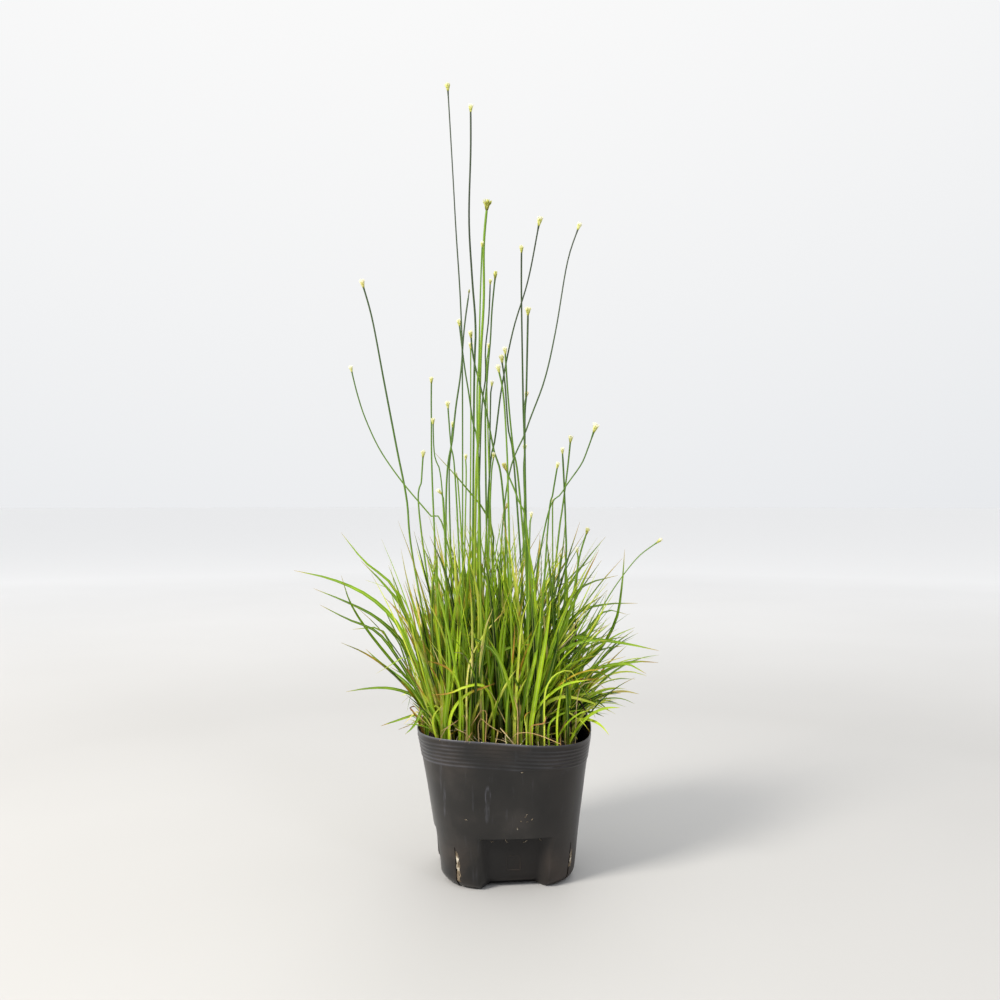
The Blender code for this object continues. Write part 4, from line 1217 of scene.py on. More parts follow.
fineLeaf = {
    "feet": 3, "perFoot": 27, "withered": 0.04, "tries": 26, "seed": 41, "reach": 6.5 * mm,
    "footRadius": 1.7 * mm, "stations": 8, "bodyShare": 0.3, "boxSlack": 2.5 * mm, "soilLimit": 42 * mm,
    "sideLimits": (-57 * mm, 66 * mm), "frontLimit": -22 * mm, "rimGap": 1.5 * mm, "wallGap": 1.6 * mm,
    "keptGap": 1.4 * mm, "keptDepth": -24 * mm, "bareCorner": ((46.5 * mm, 84.5 * mm), (5.5 * mm, 6.5 * mm)),
    "lean": (1, 22), "leanOut": 20, "droop": (2, 32), "droopOut": 50, "droopRight": 60, "width": (1.1, 2.3),
    "short": 60 * mm, "shortLean": (4, 34), "tall": 112 * mm, "kinked": 0.14, "kink": (0.7, 1.9),
    "lengths": ((88, 124), (50, 105), (104, 148), (24, 58)),
    # lean, droop, kink, length in mm and width in mm
    "witheredForm": ((5, 50), (10, 70), (-0.6, 1.6), (22, 62), (0.8, 1.5)),
    # how many of the blades that crowd the sides, the front and the leaves told apart are refused
    "refused": (0.93, 0.8, 0.85),
}
# Blades near the rim: how many on all sides and how many more at the right, and how they lean over it.
rimLeaf = {
    "all": 90, "right": 46, "rightSide": (0.8, 2.2), "fewerInFront": 0.85, "bareFront": -30 * mm,
    "lean": (2, 16), "leanRight": 26, "droop": (10, 40), "droopRight": 60, "length": (34, 92),
    "width": (1.2, 2.3),
}
fan = {
    "halfFoot": 1.3 * mm, "tilt": 30, "droop": (0, 26), "droopTilt": 22, "length": (52, 118),
    "width": (2.0, 3.1),
}

# The bright fans at the front of the clump: the foot's across and depth in mm as seen, then its blades.
frontFans = (
    (-36.6, -31, 10), (-21.4, -38, 9), (-9.2, -39, 6), (2.4, -38, 9), (14.6, -38, 11), (30.5, -30, 9),
)

# Finer leaves that can be told apart in the clump: (across, up) in mm as seen from the tip down, then the
# depths of the lowest place and the tip and the width, all in mm, and its tint, age and burnt tip.
seenLeaves = (
    (((-74, 164), (-59, 147), (-52, 122)), -6, 4, 2.0, 0.7, 0.5, 0.2),
    (((-71, 173), (-59, 157), (-52, 125)), 4, 12, 1.8, 0.55, 0, 0.05),
    (((-62, 172), (-58, 161), (-52, 128)), -14, -10, 1.6, 0.4, 0.42, 0.25),
    (((-75, 159), (-60, 128), (-56, 113)), 14, 22, 1.8, 0.15, 0, 0),
    (((-81, 152), (-66, 138), (-57, 113)), 20, 30, 1.4, 0.1, 0, 0),
    (((-65, 153), (-56, 135), (-52, 121)), -20, -22, 2.0, 0.4, 0.42, 0.25),
    (((-70, 121), (-57, 113), (-54, 106)), 2, 4, 1.5, 0.3, 0, 0.05),
    (((-85, 174), (-75, 171), (-70, 167), (-59, 150)), 24, 32, 1.1, 0.6, 0.3, 0),
    (((-76, 85), (-64, 89), (-53, 91)), -10, -10, 1.9, 0.4, 0.3, 0.1),
    (((-61, 80), (-55, 86), (-49, 96)), -22, -20, 2.8, 0.3, 0, 0),
    (((-62, 86), (-57, 91), (-53, 94)), -16, -14, 1.6, 0.9, 0.6, 0),
    (((54, 176), (33, 171), (27, 162)), 16, 30, 1.6, 0.15, 0, 0),
    (((62, 166), (56, 146), (46, 132)), -2, -4, 2.0, 0.6, 0.2, 0),
    (((63, 147), (45, 130)), -10, -12, 1.8, 0.15, 0, 0.1),
    (((65, 113), (57, 118), (51, 117), (38, 108)), -12, -10, 2.0, 0.1, 0, 0.1),
    (((60, 114), (45, 113), (38, 110)), -26, -26, 2.0, 0.6, 0.45, 0.3),
    (((56, 113), (45, 112), (34, 103)), -18, -16, 1.6, 0.75, 0.5, 0.3),
    (((68, 104), (51, 105), (37, 98)), -24, -22, 2.0, 0.6, 0.3, 0.05),
    (((65, 101), (48, 108), (37, 105), (32, 100)), -4, 0, 1.7, 0.45, 0.2, 0.05),
    (((64, 94), (54, 99), (37, 103), (27, 100), (20, 91)), -33, -26, 2.4, 0.85, 0.15, 0),
    (((-6, 111), (-24, 104), (-32, 94), (-34, 88)), -38, -42, 2.3, 0.75, 0, 0.25),
    (((-29, 149), (-30, 127), (-36, 90)), -34, -36, 3.0, 0.6, 0, 0),
    (((-36, 142), (-34, 121), (-37, 88)), -35, -34, 2.6, 0.5, 0, 0),
    (((-45, 104), (-34, 105), (-19, 111), (-14, 110), (-10, 107), (-7, 92)), -36, -45, 2.4, 0.75, 0.2, 0.16),
    (((-50, 125), (-36, 121), (-28, 108)), -40, -42, 1.9, 0.6, 0, 0.25),
    (((-49, 125), (-43, 117), (-39, 103)), -37, -40, 2.0, 0.5, 0.42, 0.2),
    (((-37, 99), (-44, 89)), -41, -43, 1.8, 0.8, 0, 0),
    (((-55, 113), (-39, 85)), -36, -38, 2.2, 0.45, 0.3, 0.2),
    (((-27, 142), (-5, 128), (2, 89)), -34, -40, 3.6, 0.3, 0, 0),
    (((2, 158), (-15, 138), (-23, 116)), -36, -37, 1.5, 0.95, 0.5, 0.1),
    (((28, 162), (25, 140), (16, 86)), -37, -38, 3.4, 0.65, 0, 0),
    (((22, 160), (19, 130), (10, 90)), -35, -36, 2.7, 0.5, 0, 0),
    (((15, 164), (10, 147), (6, 92)), -36, -37, 2.6, 0.9, 0.1, 0),
    (((6, 149), (5, 130), (1, 94)), -37, -38, 2.0, 0.45, 0.3, 0.3),
    (((23, 119), (13, 102), (10, 88)), -33, -30, 2.4, 0.1, 0, 0),
    (((45, 111), (43, 117), (39, 119), (34, 118), (30, 116), (26, 110), (24, 101)), -39, -42, 1.3, 0.85, 0, 0),
    (((37, 119), (32, 92)), -40, -41, 1.8, 0.7, 0.1, 0),
    (((48, 95), (36, 93), (27, 86)), -34, -36, 2.0, 0.45, 0.15, 0),
    (((16, 94), (12, 91), (13, 82)), -43, -44, 1.8, 0.6, 0.4, 0.2),
    (((31, 160), (32, 136), (23, 97)), -30, -31, 4.0, 0.15, 0, 0),
    (((-16, 158), (-5, 125), (-3, 97)), -30, -30, 3.2, 0.2, 0, 0),
    (((-24, 160), (-28, 136), (-26, 94)), -32, -33, 2.8, 0.55, 0, 0.03),
    (((-46, 171), (-40, 130), (-38, 96)), -33, -34, 2.4, 0.75, 0.25, 0.06),
    (((-7, 163), (-6, 136), (-12, 92)), -28, -28, 2.8, 0.4, 0, 0),
    (((-21, 105), (-22, 86)), -38, -39, 3.2, 0.3, 0, 0),
    (((-14, 105), (-20, 88)), -37, -37, 2.6, 0.4, 0.45, 0),
)

# Dead leaves and straws in and round the clump, given in the same way, up to the width, and then the tint
# from 0, straw, to 1, black.
deadLeaves = (
    (((51, 89), (47, 98), (44, 101), (40, 101)), -22, -24, 1.8, 0.93),
    (((43, 150), (43, 130), (41, 101)), 2, 0, 1.8, 0.88),
    (((-65, 127), (-64, 122), (-61, 121), (-56, 112)), -12, -14, 1.1, 0.55),
    (((-65, 83), (-58, 86), (-53, 88)), -12, -12, 1.0, 0.15),
    (((-55, 97), (-57, 98), (-58, 95), (-54, 91)), -20, -18, 1.4, 0.5),
    (((-31, 130), (-27, 130), (-23, 125), (-14, 107)), -12, -41, 1.0, 0.05),
    (((-39, 82), (-31, 87), (-24, 91)), -34, -44, 0.8, 0.3),
    (((-21, 85), (-12, 96)), -34, -38, 0.8, 0.35),
    (((-2, 81), (-9, 85), (-16, 89)), -36, -43, 0.8, 0.3),
    (((-40, 76), (-37, 82), (-34, 84)), -43, -50, 0.6, 0.25),
    (((25, 91), (23, 86), (16, 85)), -42, -43, 1.1, 0.45),
    (((43, 94), (37, 82)), -36, -33, 0.8, 0.3),
    (((39, 91), (34, 82)), -38, -36, 0.8, 0.4),
    (((34, 74), (22, 79), (13, 81), (5, 79)), -43, -50, 0.6, 0.3),
    (((3, 107), (7, 99), (8, 90)), -42, -42, 1.2, 0.3),
    (((42, 141), (32, 130), (28, 121)), -4, -30, 1.2, 0.12),
    (((61, 108), (56, 112), (45, 107)), -28, -28, 1.0, 0.2),
)


def soilEdge(bearing):
    # How far from the middle a leaf can root on this side.
    clearance = pot["wall"] + soil["clearance"] + dryGap(bearing, soil["top"]) + leaf["fromEdge"]
    return planPoint(bearing, soil["top"], clearance).xy.length


def rootAt(x, y, below=1.2 * mm):
    # The start of a leaf that roots a little below the soil's surface.
    return Vector((x, y, soilHeight(x, y) - below))


def seenPath(seen, baseDepth, tipDepth, shift):
    # A leaf through the places where it is seen, rooted in the soil under the lowest of them.
    corners = [sightPoint(*place, (mixed(baseDepth, tipDepth, i / len(seen)) + shift) * mm)
               for i, place in enumerate(reversed(seen), 1)]
    low = corners[0].xy
    reach = min(low.length, soilEdge(math.atan2(low.x, -low.y)))
    return smoothPath([rootAt(*low.normalized() * reach, 1.5 * mm), *corners], leaf["fineStations"] // 2)


def placeSeen(thicket, table):
    # Each takes the depth nearest its own where it clears the rest.
    paths = []
    for seen, baseDepth, tipDepth, width, *look in table:
        for shift in (0, 1, -1, 2, -2, 3, -3, 4, 0):
            path = seenPath(seen, baseDepth, tipDepth, shift)
            radii = [r * fineLeaf["bodyShare"] for r in leafRadii(len(path), width)]
            if thicket.hasRoom(path, radii, -1, 0):
                break
        thicket.add(path, radii, -1)
        paths.append((path, width, look))
    return paths


def bentLeaf(root, bearing, lean, droop, length, count, kinkAt, kink, sway):
    # A fine blade that bows outwards, sways sideways and may be folded over at one place. Its lean from
    # upright and its droop are in degrees.
    lean, droop = math.radians(lean), math.radians(droop)
    outward = heading(bearing)
    sideways = Vector((-outward.y, outward.x, 0))
    path = [root.copy()]
    step = length / (count - 1)
    for i in range(count - 1):
        share = (i + 0.5) / (count - 1)
        angle = lean + droop * share**leaf["droopPower"] + kink * smoothStep((share - kinkAt) / 0.12 + 0.5)
        drift = sideways * sway * math.sin(share * 4.2)
        onwards = outward * math.sin(angle) + upright * math.cos(angle) + drift
        path.append(path[-1] + onwards.normalized() * step)
    return path


def insideBox(path, lowest, highest):
    slack = fineLeaf["boxSlack"]
    return all(low - slack < p < high + slack
               for point in path for low, p, high in zip(lowest, point, highest))


def clearsWall(path):
    # Whether a blade stays inside the pot's wall up to its rim and doesn't hang down outside it.
    for start, end in zip(path, path[1:]):
        for share in (0.33, 0.67, 1):
            point = start.lerp(end, share)
            if point.z < pot["height"] + fineLeaf["rimGap"]:
                height = min(max(point.z, pot["panelHeight"]), pot["height"])
                wall = planPoint(math.atan2(point.x, -point.y), height, fineLeaf["wallGap"])
                if point.xy.length > wall.xy.length:
                    return False
    return True


def fineLength(draw, outward):
    # Mostly tall blades, some short ones and a few new shoots.
    usual, varied, tallest, shoot = fineLeaf["lengths"]
    kind = draw.random()
    length = draw.uniform(*(usual if kind < 0.56 else varied))
    if kind < 0.3:
        length = draw.uniform(*tallest)
    if kind > 0.84:
        length = draw.uniform(*shoot)
    return length * (1 - 0.2 * outward) * mm


def crownFeet(place, draw):
    # The narrow feet that a crown's finer leaves fan out from.
    feet = []
    start = draw.uniform(0, math.tau)
    for k in range(fineLeaf["feet"]):
        away = fineLeaf["reach"] * draw.uniform(0.3, 1)
        bearing = start + k * math.tau / fineLeaf["feet"] + draw.uniform(-0.4, 0.4)
        feet.append(Vector((place.x + away * math.cos(bearing), place.y + away * math.sin(bearing))))
    return feet


def settles(thicket, path, width, owner, box=None):
    # Adds a fine blade if it keeps to the box, inside the pot's wall and clear of what stands there.
    radii = [r * fineLeaf["bodyShare"] for r in leafRadii(len(path), width)]
    fits = (not box or insideBox(path, *box)) and clearsWall(path) and thicket.hasRoom(path, radii, owner, 0)
    if fits:
        thicket.add(path, radii, owner)
    return fits


def fanLeaf(draw, foot, outness, outwardBearing, withered):
    # One of the finer leaves of a foot: it leaves it sideways, and outwards at the edge of the clump.
    bearing = draw.uniform(0, math.tau)
    away = fineLeaf["footRadius"] * math.sqrt(draw.random())
    root = rootAt(foot.x + away * math.cos(bearing), foot.y + away * math.sin(bearing))
    bearing += draw.uniform(-0.7, 0.7)
    outward = max(math.cos(bearing - outwardBearing) * outness, 0)
    outward *= mixed(0.3, 1, smoothStep(math.cos(bearing) + 0.5))
    rightward = max(math.cos(bearing), 0) * outward
    lean = draw.uniform(*fineLeaf["lean"]) + fineLeaf["leanOut"] * outward * draw.uniform(0.3, 1.2)
    bow = fineLeaf["droopOut"] * outward + fineLeaf["droopRight"] * rightward
    droop = draw.uniform(*fineLeaf["droop"]) + bow * draw.random()
    length = fineLength(draw, outward)
    if length < fineLeaf["short"]:
        lean += draw.uniform(*fineLeaf["shortLean"])
    elif length > fineLeaf["tall"]:
        lean, droop = lean * 0.8, droop * 0.6
    width = draw.uniform(*fineLeaf["width"])
    kink = draw.uniform(*fineLeaf["kink"]) if draw.random() < fineLeaf["kinked"] else 0
    if withered:
        lean, droop, kink, length, width = (draw.uniform(*limits) for limits in fineLeaf["witheredForm"])
        length *= mm
    return bentLeaf(root, bearing, lean, droop, length, fineLeaf["stations"], draw.uniform(0.4, 0.8), kink,
                    draw.uniform(-0.2, 0.2)), width


def crosses(path, kept):
    # Whether a blade would grow across the front of the kept leaves, as seen from the photo's side.
    fine = [start.lerp(end, share) for start, end in zip(path, path[1:]) for share in (0, 0.33, 0.67)]
    across, depth, up = asSeen(fine).T
    gaps = np.hypot(across[:, None] - kept[:, 0], up[:, None] - kept[:, 2])
    (middle, level), (halfWidth, halfHeight) = fineLeaf["bareCorner"]
    if (np.hypot((across - middle) / halfWidth, (up - level) / halfHeight) < 1).any():
        return True
    return int(((gaps < fineLeaf["keptGap"]) & (depth[:, None] < kept[:, 1])).sum()) > 2


def asSeen(points):
    # Where points are seen in the plane of the pot's axis, with their own depth in the middle column.
    points = np.array([tuple(point) for point in points])
    centre = np.array(eye)
    seen = centre + (points - centre) * (-centre[1] / (points[:, 1] - centre[1]))[:, None]
    seen[:, 1] = points[:, 1]
    return seen


def keptSights(paths):
    # The leaves at the front of the clump that are told apart in the photo.
    front = [path for path in paths if sum(point.y for point in path) / len(path) < fineLeaf["keptDepth"]]
    return np.concatenate([asSeen(smoothPath(path, 26)[2:]) for path in front])


def isUnwanted(draw, path, kept):
    # Whether a blade is out of the soil or, mostly, whether it crowds the clump's sides or its front.
    left, right = fineLeaf["sideLimits"]
    atSides, atFront, overKept = fineLeaf["refused"]
    reachesOut = min(point.x for point in path) < left or max(point.x for point in path) > right
    return ((path[0].xy - crown["middle"].xy).length > fineLeaf["soilLimit"]
            or reachesOut and draw.random() < atSides
            or path[0].y < fineLeaf["frontLimit"] and draw.random() < atFront
            or crosses(path, kept) and draw.random() < overKept)


def fineLeaves(thicket, crowns, kept):
    # The many finer blades between those of the solids, around each crown and inside its solid's box.
    draw = random.Random(fineLeaf["seed"])
    leaves = []
    for number, place in enumerate(crowns):
        owner, box = len(stalks) + number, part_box(f"leaf_tuft_{number + 1:02d}")
        grown = []
        for foot in crownFeet(place, draw):
            for _ in range(fineLeaf["perFoot"]):
                withered = draw.random() < fineLeaf["withered"]
                for _ in range(fineLeaf["tries"]):
                    path, width = fanLeaf(draw, foot, *fromMiddle(place), withered)
                    if not isUnwanted(draw, path, kept) and settles(thicket, path, width, owner, box):
                        grown.append((path, width, withered))
                        break
        leaves.append(grown)
    return leaves


def rimLeaves(thicket, crowns, kept, leaves):
    # Blades from between the crowns and the pot's wall, leaning outwards over the rim on every side.
    draw = random.Random(fineLeaf["seed"] + 1)
    for k in range(rimLeaf["all"] + rimLeaf["right"]):
        for _ in range(fineLeaf["tries"]):
            bearing = draw.uniform(0, math.tau) if k < rimLeaf["all"] else draw.uniform(*rimLeaf["rightSide"])
            if draw.random() < rimLeaf["fewerInFront"] * smoothStep(math.cos(bearing + 0.3) * 1.4):
                continue
            x, y = onFront(bearing, soilEdge(bearing) * draw.uniform(0.6, 0.95))
            rightward = max(math.sin(bearing), 0)
            lean = draw.uniform(*rimLeaf["lean"]) + rimLeaf["leanRight"] * rightward * draw.random()
            droop = draw.uniform(*rimLeaf["droop"]) + rimLeaf["droopRight"] * rightward * draw.random()
            length = draw.uniform(*rimLeaf["length"]) * mm
            width = draw.uniform(rimLeaf["width"][0], rimLeaf["width"][1] + 0.5 * rightward)
            path = bentLeaf(rootAt(x, y), math.atan2(y, x) + draw.uniform(-1.2, 1.2), lean, droop, length,
                            fineLeaf["stations"], 0.6, 0, draw.uniform(-0.12, 0.12))
            number = nearestCrown(path, crowns)
            if (y < rimLeaf["bareFront"] or crosses(path, kept)) and draw.random() < 0.8:
                continue
            if settles(thicket, path, width, len(stalks) + number, cadBox):
                leaves[number].append((path, width, False))
                break


def frontBlades(thicket, kept):
    # The blades of the front fans, spread from left to right out of their narrow feet.
    draw = random.Random(fineLeaf["seed"] + 2)
    blades = []
    for across, depth, count in frontFans:
        foot = sightPoint(across, soil["top"] / mm, depth)
        for k in range(count):
            for _ in range(fineLeaf["tries"]):
                tilt = mixed(-1, 1, (k + draw.uniform(0, 1)) / count)
                x = foot.x + fan["halfFoot"] * tilt + draw.uniform(-0.5, 0.5) * mm
                root = rootAt(x, foot.y + draw.uniform(-1.5, 2.5) * mm)
                bearing = (0 if tilt > 0 else math.pi) + draw.uniform(-0.8, 0.8)
                lean = abs(tilt) * fan["tilt"] + draw.uniform(0, 6)
                droop = draw.uniform(*fan["droop"]) + fan["droopTilt"] * abs(tilt) * draw.random()
                length = draw.uniform(*fan["length"]) * (1 - 0.35 * abs(tilt)) * mm
                width = draw.uniform(*fan["width"])
                path = bentLeaf(root, bearing, lean, droop, length, fineLeaf["stations"], 0.6, 0,
                                draw.uniform(-0.1, 0.1))
                # neighbours in a fan count as strangers, so that they keep apart
                owner = -2 - k % 2
                if crosses(path, kept) and draw.random() < 0.7 or not settles(thicket, path, width, owner):
                    continue
                look = leafLook(draw)
                blades.append((path, width, (min(look["tint"] * 0.6 + 0.42, 1), look["age"], look["burn"])))
                break
    return blades


def nearestCrown(path, crowns):
    return min(range(len(crowns)), key=lambda n: (crowns[n].xy - path[0].xy).length)


def addBlade(guide, path, width, look, roll, twist):
    smooth = smoothPath(path, leaf["fineStations"])
    guide.addLine(smooth, bladeRows(smooth, width, look, roll, twist))


def bladeMesh(name, guide, tree, keel, thickness, section, material):
    mesh = grow(name, guide.mesh(name), tree, {
        "Keel": float(keel), "Thickness": float(thickness), "Section Points": section, "Material": material})
    mesh.shade_smooth()
    return mesh


def buildTufts(thicket, crowns, tufts, tree, material):
    seen, dead = placeSeen(thicket, seenLeaves), placeSeen(thicket, deadLeaves)
    long = [path for grown in tufts.values() for path, _ in grown if len(path) == leaf["stations"] + 2]
    kept = keptSights([path for path, *_ in seen] + long)
    seen += frontBlades(thicket, kept)
    fine = fineLeaves(thicket, crowns, kept)
    rimLeaves(thicket, crowns, kept, fine)
    draw = random.Random(12)
    for number, place in enumerate(crowns):
        guide = Guide(("halfWidth", "along", "tint", "age", "burn"), ("side",))
        for path, width, withered in [(*grown, False) for grown in tufts[number]] + fine[number]:
            isLong = len(path) == leaf["stations"] + 2
            kind = "long" if isLong else "withered" if withered else "fine"
            if len(path) == leaf["stations"]:
                width *= leaf["narrowing"]
            look = leafLook(draw, kind, leaf["dryLeft"] if path[0].x < leaf["leftSide"] else leaf["dry"])
            twist = draw.gauss(0, leaf["twists"][kind])
            roll = draw.uniform(*leaf["longRoll"]) if isLong else draw.gauss(*leaf["roll"])
            addBlade(guide, path, width, look, roll * turnedToFront(path), twist)
        for path, width, (tint, age, burn) in seen:
            if nearestCrown(path, crowns) == number:
                roll = draw.uniform(0.8, 1.35) * turnedToFront(path)
                look = {"tint": tint, "age": age, "burn": burn}
                addBlade(guide, path, width * leaf["seenNarrowing"], look, roll, draw.gauss(0, 0.3))
        for k in range(crown["sheaths"]):
            bearing = k * goldenAngle + number
            foot = place + heading(bearing) * crown["sheathOut"] * mm - upright * crown["sheathBelow"] * mm
            length = draw.uniform(*crown["sheathLength"]) * mm
            sheath = smoothPath(grownLeaf(foot, bearing + math.pi, 0.0, 0.25, length, 5), 9)
            look = {"tint": draw.uniform(0.5, 1), "age": 0.5 * (k % 3 == 0), "shape": sheathWidth}
            guide.addLine(sheath, bladeRows(sheath, crown["sheathBreadth"], look, math.pi))
        name = f"leafTuft{number + 1:02d}"
        mesh = bladeMesh(name, guide, tree, leaf["keel"] * 2, leaf["thickness"], 8, material)
        mesh.set_sharp_from_angle(angle=math.radians(70))
        addPiece(name, mesh, "leaf_green", f"leaf_tuft_{number + 1:02d}")
    print("leaves:", sum(len(a) + len(b) for a, b in zip(tufts.values(), fine)) + len(seen))
    return dead


litter = {
    "straws": 110, "seed": 77, "lowest": 0.2 * mm, "highest": 13 * mm, "lean": (38, 85), "length": (9, 34),
    "stations": 7, "width": (0.4, 0.9), "tint": (0, 0.4),
}


def litterStraws():
    # Short straws that stand in the soil between the feet or lie across it.
    draw = random.Random(litter["seed"])
    straws = []
    while len(straws) < litter["straws"]:
        bearing = draw.uniform(0, math.tau)
        x, y = onFront(bearing, soilEdge(bearing) * math.sqrt(draw.uniform(0.1, 1)))
        lean = draw.uniform(*litter["lean"])
        path = bentLeaf(rootAt(x, y, 0.3 * mm), draw.uniform(0, math.tau), lean, draw.uniform(-20, 98 - lean),
                        draw.uniform(*litter["length"]) * mm, litter["stations"], draw.uniform(0.3, 0.7),
                        draw.uniform(-0.7, 0.5), draw.uniform(-0.5, 0.5))
        lifts = [p.z - soilHeight(p.x, p.y) for p in path[1:]]
        if clearsWall(path) and min(lifts) > litter["lowest"] and max(lifts) < litter["highest"]:
            straws.append((path, draw.uniform(*litter["width"]), (draw.uniform(*litter["tint"]),)))
    return straws


def buildDeadLeaves(withered, tree, material):
    # Straws and withered blades, curled across and twisted along.
    draw = random.Random(23)
    guide = Guide(("halfWidth", "along", "tint"), ("side",))
    for path, width, (tint,) in withered:
        look = {"tint": tint, "shape": strawWidth}
        addBlade(guide, path, width, look, draw.uniform(-0.6, 0.6), draw.gauss(0, 1.2))
    mesh = bladeMesh("deadLeaves", guide, tree, leaf["keel"] * 3, leaf["thickness"] * 1.6, 8, material)
    mesh.set_sharp_from_angle(angle=math.radians(70))
    addPiece("deadLeaves", mesh, "leaf_green")


def strawWidth(share):
    return 0.9 + 0.1 * math.sin(share * 9) - 0.55 * share**6


def sheathWidth(share):
    # The broad foot of a leaf, where it wraps the crown.
    return (1 - share**3) * 0.95 + 0.05


# Flower stalks and heads

head = {
    "bracts": (6, 7, 7), "florets": 54, "seed": 17, "bractLean": (5, 16), "floretLean": (4, 27),
    "bractSize": (0.85, 1.05), "floretSize": (0.7, 1.12), "neck": (5.2, 3.2),
    # length, width and thickness, then the share of the length where it is widest and its sides
    "bract": (2.9 * mm, 0.9 * mm, 0.24 * mm, 0.5, 6), "floret": (3.6 * mm, 0.46 * mm, 0.34 * mm, 0.6, 5),
}
# How each head differs from an ordinary one, by the number of its stalk: cream (0 olive to 1 white),
# open (0 a closed bud to 1 a wide brush), pink.
headLooks = {
    1: (0.55, 0.9, 0), 2: (0.85, 0.6, 0), 3: (0.22, 1.15, 0), 5: (0.75, 0.8, 0), 6: (0.95, 1.0, 0),
    9: (0.6, 0.6, 0.6), 11: (0.3, 0.3, 0), 14: (0.0, 0.0, 0), 15: (0.7, 0.7, 0), 17: (0.7, 0.7, 0.2),
    22: (0.85, 0.9, 0.35), 23: (0.95, 0.8, 0), 33: (0.2, 0.5, 0.3), 34: (0.55, 0.6, 0.6), 35: (0.9, 1.0, 0),
    41: (0.55, 0.8, 0), 43: (1.0, 0.4, 0),
}
# How fresh and yellow green a stalk stays up to its head, by its number; the others turn grey green.
freshStalks = {
    3: 0.6, 4: 0.5, 11: 0.2, 13: 0.4, 15: 0.15, 17: 0.4, 18: 0.15, 20: 0.3, 24: 0.2, 30: 0.3, 31: 0.3,
}


def leafletMesh(name, length, width, thickness, fullest, sides):
    # A small pointed scale or floret along +Z, widest at the share fullest, facing +X.
    rings = [[Vector()]]
    for share in (0.12, fullest, (1 + fullest) / 2, 0.93):
        if share <= fullest:
            reach = 0.45 + 0.55 * share / fullest
        else:
            reach = math.sqrt(max(0.05, 1 - ((share - fullest) / (1.02 - fullest)) ** 2))
        angles = [math.tau * i / sides for i in range(sides)]
        rings.append([Vector((math.cos(angle) * thickness * reach / 2, math.sin(angle) * width * reach / 2,
                              share * length)) for angle in angles])
    rings.append([Vector((0, 0, length))])
    mesh = meshFromRings(name, rings)
    addValues(mesh, "reach", [vert.co.z / length for vert in mesh.vertices])
    return addObject(name, mesh)


def addHead(guide, top, axis, scale, look, draw):
    # Bracts in rows round the head's foot, then florets on a golden spiral up to its crown.
    cream, openness, pink = look
    across = axis.orthogonal().normalized()
    other = axis.cross(across)
    unit = scale * mm

    def addPart(part, angle, lean, below, radius, size, partCream):
        # a bract (1) or floret (2), its foot this far below the head's top and out from its axis
        out = across * math.cos(angle) + other * math.sin(angle)
        aim = axis * math.cos(lean) + out * math.sin(lean)
        guide.addPoint(top - axis * below * unit + out * radius * unit, part=part, side=aim, facing=out,
                       halfWidth=scale * draw.uniform(*size), cream=partCream, tint=draw.random(), pink=pink)

    for row, count in enumerate(head["bracts"]):
        for k in range(count):
            angle = math.tau * (k + 0.5 * (row % 2)) / count + draw.uniform(-0.12, 0.12)
            lean = math.radians(mixed(*head["bractLean"], openness) + 2 * row)
            addPart(1.0, angle, lean, 5.7 - 0.8 * row, 0.3 + 0.14 * row, head["bractSize"],
                    cream * 0.4 + 0.12)
    for k in range(head["florets"]):
        share = math.sqrt((k + 0.5) / head["florets"])
        lean = math.radians(mixed(*head["floretLean"], openness) * share + draw.uniform(-4, 4))
        addPart(2.0, k * goldenAngle, lean, 3.6 + 0.4 * share, 0.42 * share, head["floretSize"], cream)


def stalkGirth(share, girth):
    # The stalk's radius: a little stouter in the sheath at its foot.
    radius = mixed(stalk["radius"], stalk["radiusAtHead"], share)
    return radius * girth * (1 + 0.18 * smoothStep(1 - share * 9)) * mm


def stalkRows(path, item, fresh, tint):
    # What each station of a stalk's guide line holds; the last two swell into the head.
    unit = item["scale"] * mm
    swelling = {len(path) - 1: 0.7, len(path) - 2: 0.55}
    rows, across = [], directionAt(path, 0).orthogonal().normalized()
    for i, point in enumerate(path):
        share = i / (len(path) - 1)
        direction = directionAt(path, i)
        across = (across - direction * across.dot(direction)).normalized()
        turn = share * stalk["twist"]
        rows.append({
            "halfWidth": swelling[i] * unit if i in swelling else stalkGirth(share, item["girth"]),
            "along": (point.z - soil["top"]) / (400 * mm) * (1 - fresh), "tint": tint,
            "side": across * math.cos(turn) + direction.cross(across) * math.sin(turn)})
    return rows


def buildStalks(placed, tree, skin, papery):
    draw = random.Random(head["seed"])
    bract, floret = (leafletMesh(part + "Shape", *head[part]) for part in ("bract", "floret"))
    for number, item in enumerate(placed, 1):
        points = item["points"]
        axis = (points[-1] - points[-2]).normalized()
        top, unit = points[-1], item["scale"] * mm
        path = smoothPath(item["corners"], stalk["stations"])
        path = [p for p in path if (top - p).length > 7 * unit]
        neck = [top - axis * below * unit for below in head["neck"]]
        path = [path[0] - upright * stalk["rootDepth"], *path, *neck]
        guide = Guide(("halfWidth", "along", "tint", "part", "cream", "pink"), ("side", "facing"))
        guide.addLine(path, stalkRows(path, item, freshStalks.get(number, 0), draw.random()))
        look = headLooks.get(number, (draw.uniform(0.55, 0.95), draw.uniform(0.5, 0.9), 0))
        addHead(guide, top, axis, item["scale"], look, draw)
        name = f"flowerStalk{number:02d}"
        mesh = grow(name, guide.mesh(name), tree, {
            "Section Points": stalk["section"], "Rib Depth": stalk["ribDepth"], "Bract": bract,
            "Floret": floret, "Stalk Material": skin, "Head Material": papery})
        mesh.shade_smooth()
        addPiece(name, mesh, "stalk_green", f"flower_stalk_{number:02d}")
    for shape in (bract, floret):
        bpy.data.objects.remove(shape)


# Floor, light and camera

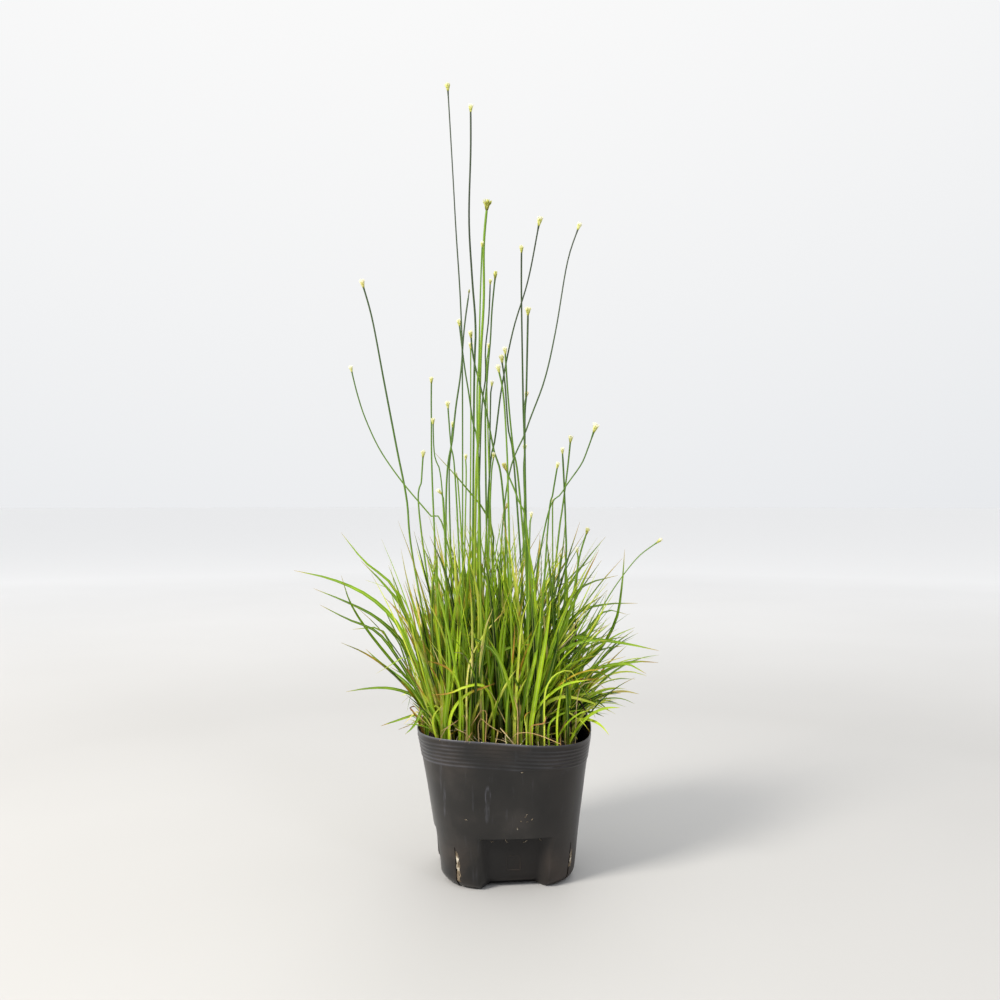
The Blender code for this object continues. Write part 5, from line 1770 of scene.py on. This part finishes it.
studio = {
    "floorRadius": 30.0, "lens": 36.1, "room": 0.95, "floorFade": (0.5, 2.6), "window": (-0.1, 0.5, 0.86),
    # name, place, size, power and colour
    "lights": (("key", (-1.1, -0.9, 1.3), 0.45, 36, "#fffaf2"),
               ("fill", (0.75, -1.0, 1.1), 0.2, 2, "#f2f5ff"),
               ("back", (0.1, 1.2, 1.3), 0.9, 6, "#ffffff")),
}


def buildStudio():
    bm = bmesh.new()
    bmesh.ops.create_circle(bm, cap_ends=True, segments=96, radius=studio["floorRadius"])
    mesh = meshOf(bm, "floor")
    floor = addObject("floor", mesh)
    floor.location.z = -0.05 * mm
    # matt painted board: pale, with a barely seen cloudiness; painted darker near the plant and palest far
    # from it, painted shade and light that even out the lamps' falloff
    material, node, place = newMaterial("mattPaintedBoard")
    cloud = node("TexNoise", {"Vector": place, "Scale": 3, "Detail": 2})
    away = node("VectorMath", (place,), operation="LENGTH", out="Value")
    away = node("MapRange", (away, *studio["floorFade"]))
    away = node("Math", (cloud, 0.1, away), operation="MULTIPLY_ADD")
    colour = node("ValToRGB", (away,), stops=((0, "#b6b5b3"), (1, "#fafafa")))
    fill(material.node_tree.nodes["Principled BSDF"], {"Base Color": colour, "Roughness": 0.8})
    mesh.materials.append(material)

    # a pale room, brightest overhead and behind the plant, so that the floor meets it without a line
    world = bpy.data.worlds.new("paleRoom")
    bpy.context.scene.world = world
    world.use_nodes = True
    node = partial(addNode, world.node_tree)
    towards = node("VectorMath", (node("TexCoord", out="Generated"), studio["window"]),
                   operation="DOT_PRODUCT", out="Value")
    bright = node("MapRange", (towards, -1, 1))
    shade = node("ValToRGB", (bright,), stops=((0.25, "#adafb3"), (0.68, "#eceef1"), (0.92, "#ffffff")))
    fill(world.node_tree.nodes["Background"], {"Color": shade, "Strength": studio["room"]})
    for settings in studio["lights"]:
        addLight(*settings)

    camera = bpy.data.cameras.new("photoView")
    camera.lens = studio["lens"]
    camera.sensor_width = 36
    camera.clip_start = 0.01
    view = addObject("photoView", camera)
    view.location = eye
    view.rotation_euler = (math.radians(90), 0, 0)
    bpy.context.scene.camera = view
    bpy.context.scene.view_settings.view_transform = "Standard"


def addLight(name, place, size, power, colour):
    # A soft square light aimed at the plant's middle.
    light = bpy.data.lights.new(name, "AREA")
    light.shape, light.size, light.energy = "SQUARE", size, power
    light.color = hexToLinear(colour)[:3]
    lamp = addObject(name, light)
    lamp.location = place
    lamp.rotation_euler = (Vector((0, 0, 0.2)) - lamp.location).to_track_quat("-Z", "Y").to_euler()


def main():
    buildStudio()
    print("studio ready")
    crowns = crownPlaces()
    thicket = Thicket()
    placed = placeStalks(thicket, crowns)
    tufts = placeLeaves(thicket, crowns)
    print("layout:", len(placed), "stalks,", sum(len(leaves) for leaves in tufts.values()), "leaves")
    blades = bladeTree()
    buildPot(blades, potMaterial())
    print("pot ready")
    buildSoil(soilMaterial(), crumbTree())
    print("soil ready")
    buildRoots(blades, rootMaterial())
    print("roots ready")
    withered = buildTufts(thicket, crowns, tufts, blades, leafBladeMaterial())
    buildDeadLeaves(withered + litterStraws(), blades, deadLeafMaterial())
    print("tufts ready")
    buildStalks(placed, stalkTree(), stalkMaterial(), floretMaterial())
    print("stalks ready")


main()
